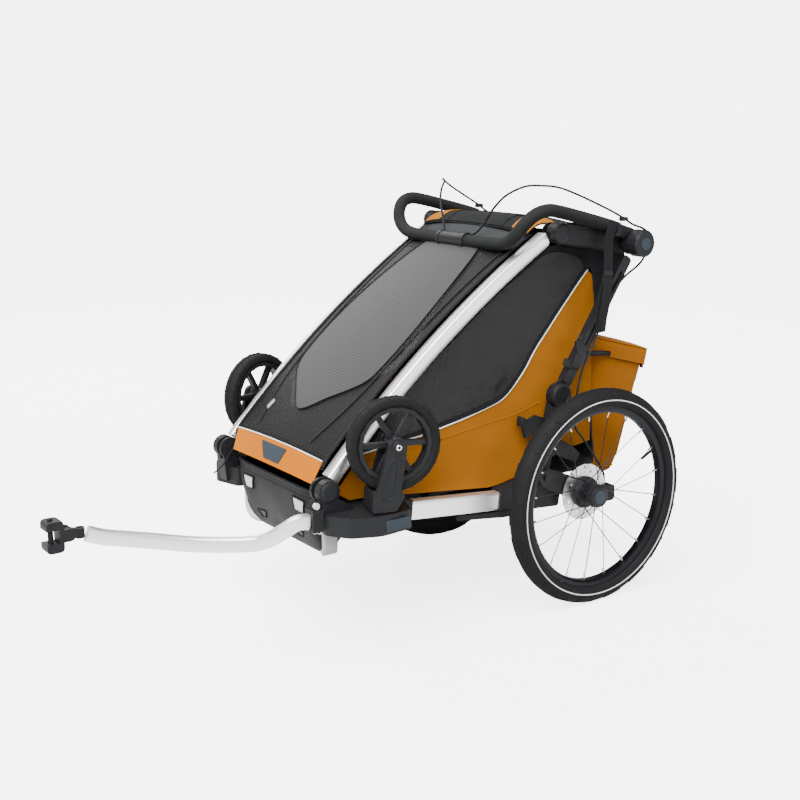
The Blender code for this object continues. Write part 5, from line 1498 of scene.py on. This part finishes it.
def tubSpot(turn, level):
    up, front, rear, half = level
    a, b = roundedTurn(turn, tubForm["squareness"])
    along = (front + rear) / 2 + (rear - front) / 2 * b
    across = half * a
    if along > tubForm["narrowFrom"]:
        across = max(-tubForm["sideHalf"], min(tubForm["sideHalf"], across))
    return at(across, along, up)


# The nose's front face at a place across and up, found between two levels
def onNose(across, up, lift=0.0):
    levels = tubForm["levels"]
    k = max(n for n in range(len(levels) - 1) if levels[n][0] <= up)
    share = (up - levels[k][0]) / (levels[k + 1][0] - levels[k][0])
    front, rear, half = (a + (b - a) * share for a, b in zip(levels[k][1:], levels[k + 1][1:]))
    bow = 1 - (abs(across) / half) ** (2 / tubForm["squareness"])
    face = (front + rear) / 2 + (front - rear) / 2 * max(bow, 0.0) ** (tubForm["squareness"] / 2)
    return at(across, face - lift, up)


def makeTub():
    turns = [2 * pi * (k + 0.5) / tubForm["around"] for k in range(tubForm["around"])]
    rings = [[tubSpot(t, level) for t in turns] for level in tubForm["levels"]]
    tub = loftShell("tubMoulding", rings, "tubShell", 0.004)
    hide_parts("footwell")
    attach(tub, "base")
    for name, up, radius in (("tubTopLip", 0.3425, 0.0036), ("tubBead", 0.326, 0.0012)):
        lip = [onNose(0.170 * (1 - k / 24), up) for k in range(49)]
        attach(sweep(name, lip, circleSection(radius, 10), "tubShell"), "base")
    pieces = []
    for part, finish, lift in (("reflector", "whiteNylon", 0.0012), ("notch", "blackCasting", 0.0006)):
        cut = tubForm[part]
        pieces.append(
            spreadCloth(part, cut, lambda p: onNose(p.x, p.y, lift), finish, (0, -1, 0), 0.006, 0.0016)
        )
        frame = [onNose(p.x, p.y, lift + 0.0004) for p in splitEdges([Vector(p) for p in cut], 0.006)]
        pieces.append(sweep(part + "Frame", frame, circleSection(0.0017, 8), "tubShell", closed=True))
    for k, ends in enumerate(tubForm["facets"]):
        facet = [onNose(x, z, 0.0024) for x, z in ends]
        pieces.append(sweep(f"reflectorRib{k}", facet, circleSection(0.0009, 6), "whiteNylon"))
    ridePair(pieces, "base", paired=False)
    cord = smoothLine([at(*p) for p in tubForm["cord"]], 0.01)
    pull = sweep("cordPull", cord, circleSection(0.0019, 8), "cable")
    ridePair([pull], "front_frame", paired=False)


# Standing hoop: a flat painted bar, down one side of the nose, under the tub and up the other
hoopForm = {
    "path": [
        (0.179, -0.6430, 0.300), (0.179, -0.6420, 0.240), (0.176, -0.6400, 0.222), (0.168, -0.6360, 0.211),
        (0.154, -0.6290, 0.205), (0.136, -0.6190, 0.2035), (0.112, -0.6080, 0.2030), (0.060, -0.6000, 0.2030),
    ],
    "farShare": 0.88, "depth": 0.034, "thickness": 0.013,
}


def makeHoop():
    half = [at(*p) for p in hoopForm["path"]]
    other = [Vector((-p.x * hoopForm["farShare"], p.y, p.z)) for p in reversed(half)]
    path = smoothLine(half + other, 0.008)
    hoop = sweep(
        "standingHoop", path, flatSection(hoopForm["depth"], hoopForm["thickness"]), "paleBar",
        side=(0, 1, 0),
    )
    finishWith(hoop, "BEVEL", width=0.0015, segments=2, limit_method="ANGLE")
    smooth(hoop)
    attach(hoop, "base")
    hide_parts("front_hoop")


makeTub()
makeHoop()
print("tub and hoop are made")


# Caps over the frame's joints, each a turned cover with a stepped rim
def capRings(radius, height, dish):
    floor = height - dish
    return [
        (radius, -0.003), (radius, height * 0.45), (radius * 0.96, height * 0.72),
        (radius * 0.84, height * 0.95), (radius * 0.70, height), (radius * 0.66, floor),
        (radius * 0.30, floor), (radius * 0.1, floor),
    ]


jointCaps = [
    {
        "name": "frontCap", "spot": (0.2290, -0.674, 0.360), "radius": 0.0215, "height": 0.0085, "dish": 0.0,
        "body": "front_frame",
    },
    {
        "name": "topCap", "spot": (0.2400, -0.0765, 0.8485), "radius": 0.0215, "height": 0.0075,
        "dish": 0.0012, "body": "upper_frame",
    },
    {
        "name": "rearDrumCap", "spot": (0.2480, -0.0725, 0.4860), "radius": 0.0270, "height": 0.0065,
        "dish": 0.0015, "body": "base",
    },
    {
        "name": "pivotCap", "spot": (0.2405, -0.124, 0.305), "radius": 0.0205, "height": 0.0060,
        "dish": 0.0020, "body": "base",
    },
]


def makeJointCaps():
    for row in jointCaps:
        rings = capRings(row["radius"], row["height"], row["dish"])
        cap = turned(row["name"], at(*row["spot"]), (1, 0, 0), rings, "blackNylon")
        ridePair([cap], row["body"], paired=False)


def screw(name, spot, axis, radius=0.0035, finish="nickel"):
    rings = [
        (radius, -0.001), (radius, 0.0009), (radius * 0.8, 0.0015), (radius * 0.5, 0.0015),
        (radius * 0.45, 0.0004),
    ]
    return turned(name, spot, axis, rings, finish, 18)


makeJointCaps()


# Upper arms: a bare raised plate on the outer face. A clip on the bar's end holds the cable above it
upperTrim = {
    "plate": [(-0.026, 0.8535), (0.052, 0.8520), (0.061, 0.8330), (-0.003, 0.8320)],
    "clip": [(0.2560, 0.080, 0.8685), (0.2680, 0.100, 0.8775)],
}


def makeUpperTrim():
    badge = plate("armPlate", upperTrim["plate"], 0.2396, 0.2416, "blackNylon", 0.0007)
    ridePair([badge], "upper_frame", paired=False)
    low, high = (at(*corner) for corner in upperTrim["clip"])
    clip = block("cableClip", low, high, "blackNylon", 0.002)
    ridePair([clip], "push_bar", paired=False)


makeUpperTrim()


# Rear posts: a clip band and a release buckle with a webbing strap that holds the bag's corner
postTrim = {
    "band": [(-0.063, 0.571), (-0.026, 0.5535), (-0.033, 0.5375), (-0.070, 0.555)],
    "buckle": [
        (-0.036, 0.606), (-0.017, 0.6065), (-0.001, 0.585), (-0.005, 0.561), (-0.026, 0.5385),
        (-0.046, 0.550), (-0.030, 0.577),
    ],
    "strap": [
        (0.2420, -0.006, 0.570), (0.2330, 0.020, 0.5685), (0.2160, 0.060, 0.5630), (0.1960, 0.100, 0.5560),
        (0.1880, 0.132, 0.5500),
    ],
    "slot": [(-0.020, 0.6215), (-0.0075, 0.6150), (-0.0165, 0.6000), (-0.029, 0.6065)],
}


def makePostTrim():
    band = plate("postBand", postTrim["band"], 0.2455, 0.2490, "blackNylon", 0.0012)
    buckle = plate("postBuckle", postTrim["buckle"], 0.2458, 0.2535, "blackNylon", 0.0018)
    window = plate("postSlot", postTrim["slot"], 0.2460, 0.2474, "blackCasting", 0.0012)
    ridePair([band, buckle, window], "rear_posts", paired=False)
    path = smoothLine([at(*p) for p in postTrim["strap"]], 0.01)
    strap = sweep("bagStrap", path, flatSection(0.0022, 0.011), "blackCloth", side=(1, 0.4, 0), uv=True)
    ridePair([strap], "base", paired=False)


makePostTrim()


# Side tabs: a finger tab on each side panel, and the parking lever behind each big wheel's spokes
sideTabs = [
    {
        "name": "fingerTab", "low": 0.2090, "high": 0.2290,
        "outline": [
            (-0.168, 0.446), (-0.148, 0.434), (-0.132, 0.4285), (-0.134, 0.4115), (-0.152, 0.4155),
            (-0.1705, 0.4225),
        ],
    },
    {
        "name": "parkingLever", "low": 0.2150, "high": 0.2230,
        "outline": [
            (-0.080, 0.394), (-0.010, 0.3535), (0.006, 0.341), (-0.003, 0.3300), (-0.030, 0.3410),
            (-0.084, 0.372),
        ],
    },
]
for row in sideTabs:
    tab = plate(row["name"], row["outline"], row["low"], row["high"], "blackNylon", 0.003, 3)
    ridePair([tab], "base", paired=False)


# Front wings: a slate inset on the outer face and the screws that close the moulding
wingTrim = {
    "inset": [(-0.590, 0.3050), (-0.533, 0.3060), (-0.527, 0.2830), (-0.588, 0.2800)],
    "screws": [("wingScrew", -0.660, 0.3165), ("wingScrewRear", -0.515, 0.3165)], "screwIn": 0.03,
}


def makeWingTrim():
    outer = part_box("front_bracket_left")[1].x
    pieces = [plate("wingInset", wingTrim["inset"], outer - 0.0015, outer + 0.0016, "slateNylon", 0.0014, 3)]
    for name, along, up in wingTrim["screws"]:
        spot = at(outer - wingTrim["screwIn"], along, up)
        pieces.append(screw(name, spot, (0, 0, 1), 0.0040, "blackCasting"))
    ridePair(pieces, "base", paired=False)


makeWingTrim()


# Handlebar: one foam-covered loop from collar to collar
barForm = {
    "diameter": 0.0288,
    "half": [
        (0.2565, 0.0620, 0.8570), (0.2565, 0.0170, 0.8690), (0.2565, -0.0430, 0.8840),
        (0.2565, -0.0920, 0.8955), (0.2550, -0.1280, 0.9010), (0.2490, -0.1580, 0.8930),
        (0.2360, -0.1780, 0.8720), (0.2190, -0.1870, 0.8490), (0.1950, -0.1890, 0.8320),
        (0.1600, -0.1880, 0.8240), (0.1000, -0.1880, 0.8230), (0.0, -0.1880, 0.8230),
    ],
}


def makeHandlebar():
    half = barForm["half"]
    route = [at(*p) for p in half] + [at(-x, y, z) for x, y, z in reversed(half[:-1])]
    loop = sweep("foamLoop", smoothLine(route, 0.008), circleSection(barForm["diameter"] / 2, 28), "foam")
    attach(loop, "push_bar")
    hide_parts("handlebar")


makeHandlebar()


# Twist grip: a clamshell with a raised ring at each end, two screws on its upper front and a seam behind
gripForm = {
    "spot": (0.0, -0.188, 0.823), "half": 0.050, "shell": 0.0174, "ring": 0.0188, "out": (0, -0.55, 0.835),
}


def makeGrip():
    half, shell, ring = gripForm["half"], gripForm["shell"], gripForm["ring"]
    rings = [
        (0.0140, -half), (ring - 0.001, -half), (ring, 0.001 - half), (ring, 0.009 - half),
        (shell, 0.0095 - half), (shell, half - 0.0145), (ring, half - 0.014), (ring, half - 0.001),
        (ring - 0.001, half), (0.0140, half),
    ]
    grip = turned("gripShell", at(*gripForm["spot"]), (1, 0, 0), rings, "blackNylon", 48)
    x, y, z = gripForm["spot"]
    out = Vector(gripForm["out"])
    pieces = [grip]
    for way, side in ((1, "Left"), (-1, "Right")):
        spot = at(way * 0.034, y, z) + out * (shell - 0.0006)
        pieces.append(screw("gripScrew" + side, spot, out, 0.0028, "blackCasting"))
    seam = [at(x + s, y, z) + out.cross(Vector((1, 0, 0))) * (shell + 0.0002) for s in (-0.040, 0.0, 0.035)]
    pieces.append(sweep("gripSeam", seam, circleSection(0.0008, 8), "blackCasting"))
    for piece in pieces:
        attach(piece, "brake_twist_grip")
    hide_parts("brake_grip")


# Wrist strap: webbing from the collar to a buckle, then a hand loop of two layers
strapForm = {
    "across": 0.2700, "width": 0.026,
    "upper": [(0.050, 0.870), (0.0435, 0.845), (0.0386, 0.828), (0.0386, 0.790), (0.0388, 0.7576)],
    "loop": [(0.0385, 0.7560), (0.0300, 0.7220), (0.0230, 0.6920), (0.0190, 0.6560), (0.0225, 0.6230)],
    "buckle": [(0.2670, 0.0260, 0.7500), (0.2740, 0.0510, 0.7620)],
}


def makeWristStrap():
    section = flatSection(strapForm["width"], 0.0024)

    def band(name, route, bulge):
        path = smoothLine([at(strapForm["across"], y, z) for y, z in route], 0.008)
        swing = [sin(pi * k / (len(path) - 1)) for k in range(len(path))]
        path = [p + Vector((bulge, 0.5 * bulge, 0)) * out for p, out in zip(path, swing)]
        return sweep(name, path, section, "blackCloth", side=(0, 1, 0), uv=True)

    upper = band("wristStrap", strapForm["upper"], 0.0)
    low, high = (at(*corner) for corner in strapForm["buckle"])
    buckle = block("strapBuckle", low, high, "blackNylon", 0.002)
    loops = [
        band("strapLoopInner", strapForm["loop"], -0.0005), band("strapLoopOuter", strapForm["loop"], 0.0080),
    ]
    for piece in [upper, buckle, *loops]:
        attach(piece, "push_bar")
    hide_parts("wrist_strap")


makeGrip()
makeWristStrap()


# Tow arm: one smooth oval extrusion bent from the socket to the hitch
towForm = {
    "tall": 0.032, "wide": 0.019, "squareness": 0.62,
    "route": [
        (0.221, -0.7172, 0.305), (0.219, -0.742, 0.306), (0.202, -0.764, 0.288), (0.178, -0.786, 0.268),
        (0.148, -0.815, 0.2565), (0.100, -0.902, 0.260), (0.070, -0.993, 0.278), (0.056, -1.075, 0.297),
        (0.051, -1.112, 0.3105),
    ],
}


def makeTowArm():
    corners = [roundedTurn(2 * pi * k / 24, towForm["squareness"]) for k in range(24)]
    section = [(towForm["tall"] / 2 * a, towForm["wide"] / 2 * b) for a, b in corners]
    path = smoothLine([at(*p) for p in towForm["route"]], 0.006)
    arm = sweep("towBar", path, section, "towAluminium", side=(0, 0, 1))
    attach(arm, "base")
    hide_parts("tow_arm")


# Wire clip that holds the arm's pin in the socket. It climbs outwards a little from corner to corner
pinClipForm = {
    "across": 0.2150, "climb": 0.0006,
    "route": [
        (-0.7259, 0.2875), (-0.7104, 0.2880), (-0.6886, 0.2803), (-0.6857, 0.2712), (-0.6950, 0.2759),
        (-0.7013, 0.2757), (-0.7182, 0.2874),
    ],
}


def makePinClip():
    across, climb = pinClipForm["across"], pinClipForm["climb"]
    path = smoothLine([at(across + climb * k, y, z) for k, (y, z) in enumerate(pinClipForm["route"])], 0.003)
    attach(sweep("pinClip", path, circleSection(0.0012, 10), "nickel"), "base")


makePinClip()
makeTowArm()


# Tail light: a red lens on the bag's rear corner
tailLight = {"low": (0.168, 0.2520, 0.499), "high": (0.176, 0.2580, 0.531)}
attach(block("tailLight", at(*tailLight["low"]), at(*tailLight["high"]), "redLens", 0.001), "base")


# Brake cables: each leaves the grip, loops over the roof into the bar end and runs down to its caliper
cableForm = {
    "diameter": 0.0052,
    "upper": [
        (0.053, -0.177, 0.8363), (0.064, -0.170, 0.845), (0.078, -0.162, 0.864), (0.091, -0.157, 0.885),
        (0.105, -0.150, 0.905), (0.123, -0.134, 0.928), (0.149, -0.106, 0.946), (0.180, -0.086, 0.949),
        (0.214, -0.060, 0.945), (0.238, -0.017, 0.926), (0.253, 0.035, 0.902), (0.259, 0.062, 0.889),
        (0.263, 0.090, 0.8745), (0.268, 0.114, 0.860), (0.275, 0.1369, 0.8512), (0.279, 0.1535, 0.8385),
        (0.280, 0.1599, 0.8210),
    ],
    "lower": [
        (0.2540, 0.1508, 0.7993), (0.2520, 0.1660, 0.790), (0.2500, 0.1685, 0.778), (0.2500, 0.150, 0.762),
        (0.2500, 0.114, 0.742), (0.2500, 0.088, 0.720), (0.2495, 0.066, 0.684), (0.2495, 0.044, 0.640),
        (0.2495, 0.018, 0.590), (0.2495, -0.010, 0.540), (0.2510, -0.026, 0.490), (0.2480, -0.028, 0.445),
        (0.2400, -0.020, 0.404), (0.2360, 0.005, 0.376), (0.2355, 0.035, 0.338), (0.2355, 0.063, 0.302),
        (0.2355, 0.078, 0.276), (0.2355, 0.0805, 0.2566),
    ],
}


def makeCables():
    for way, side in ((1, "left"), (-1, "right")):
        runs = (("upper", "brake_cable_", "push_bar"), ("lower", "brake_cable_lower_", "base"))
        for part, node, body in runs:
            path = smoothLine([at(way * x, y, z) for x, y, z in cableForm[part]], 0.006)
            cable = sweep(
                part + "Cable" + side.title(), path, circleSection(cableForm["diameter"] / 2, 10), "cable"
            )
            length = sum((b - a).length for a, b in zip(path, path[1:]))
            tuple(path[0])
            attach(cable, body)
            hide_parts(node + side)
            if part == "lower":
                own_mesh(cable)


makeCables()
print("caps, plates, straps and cables are made")
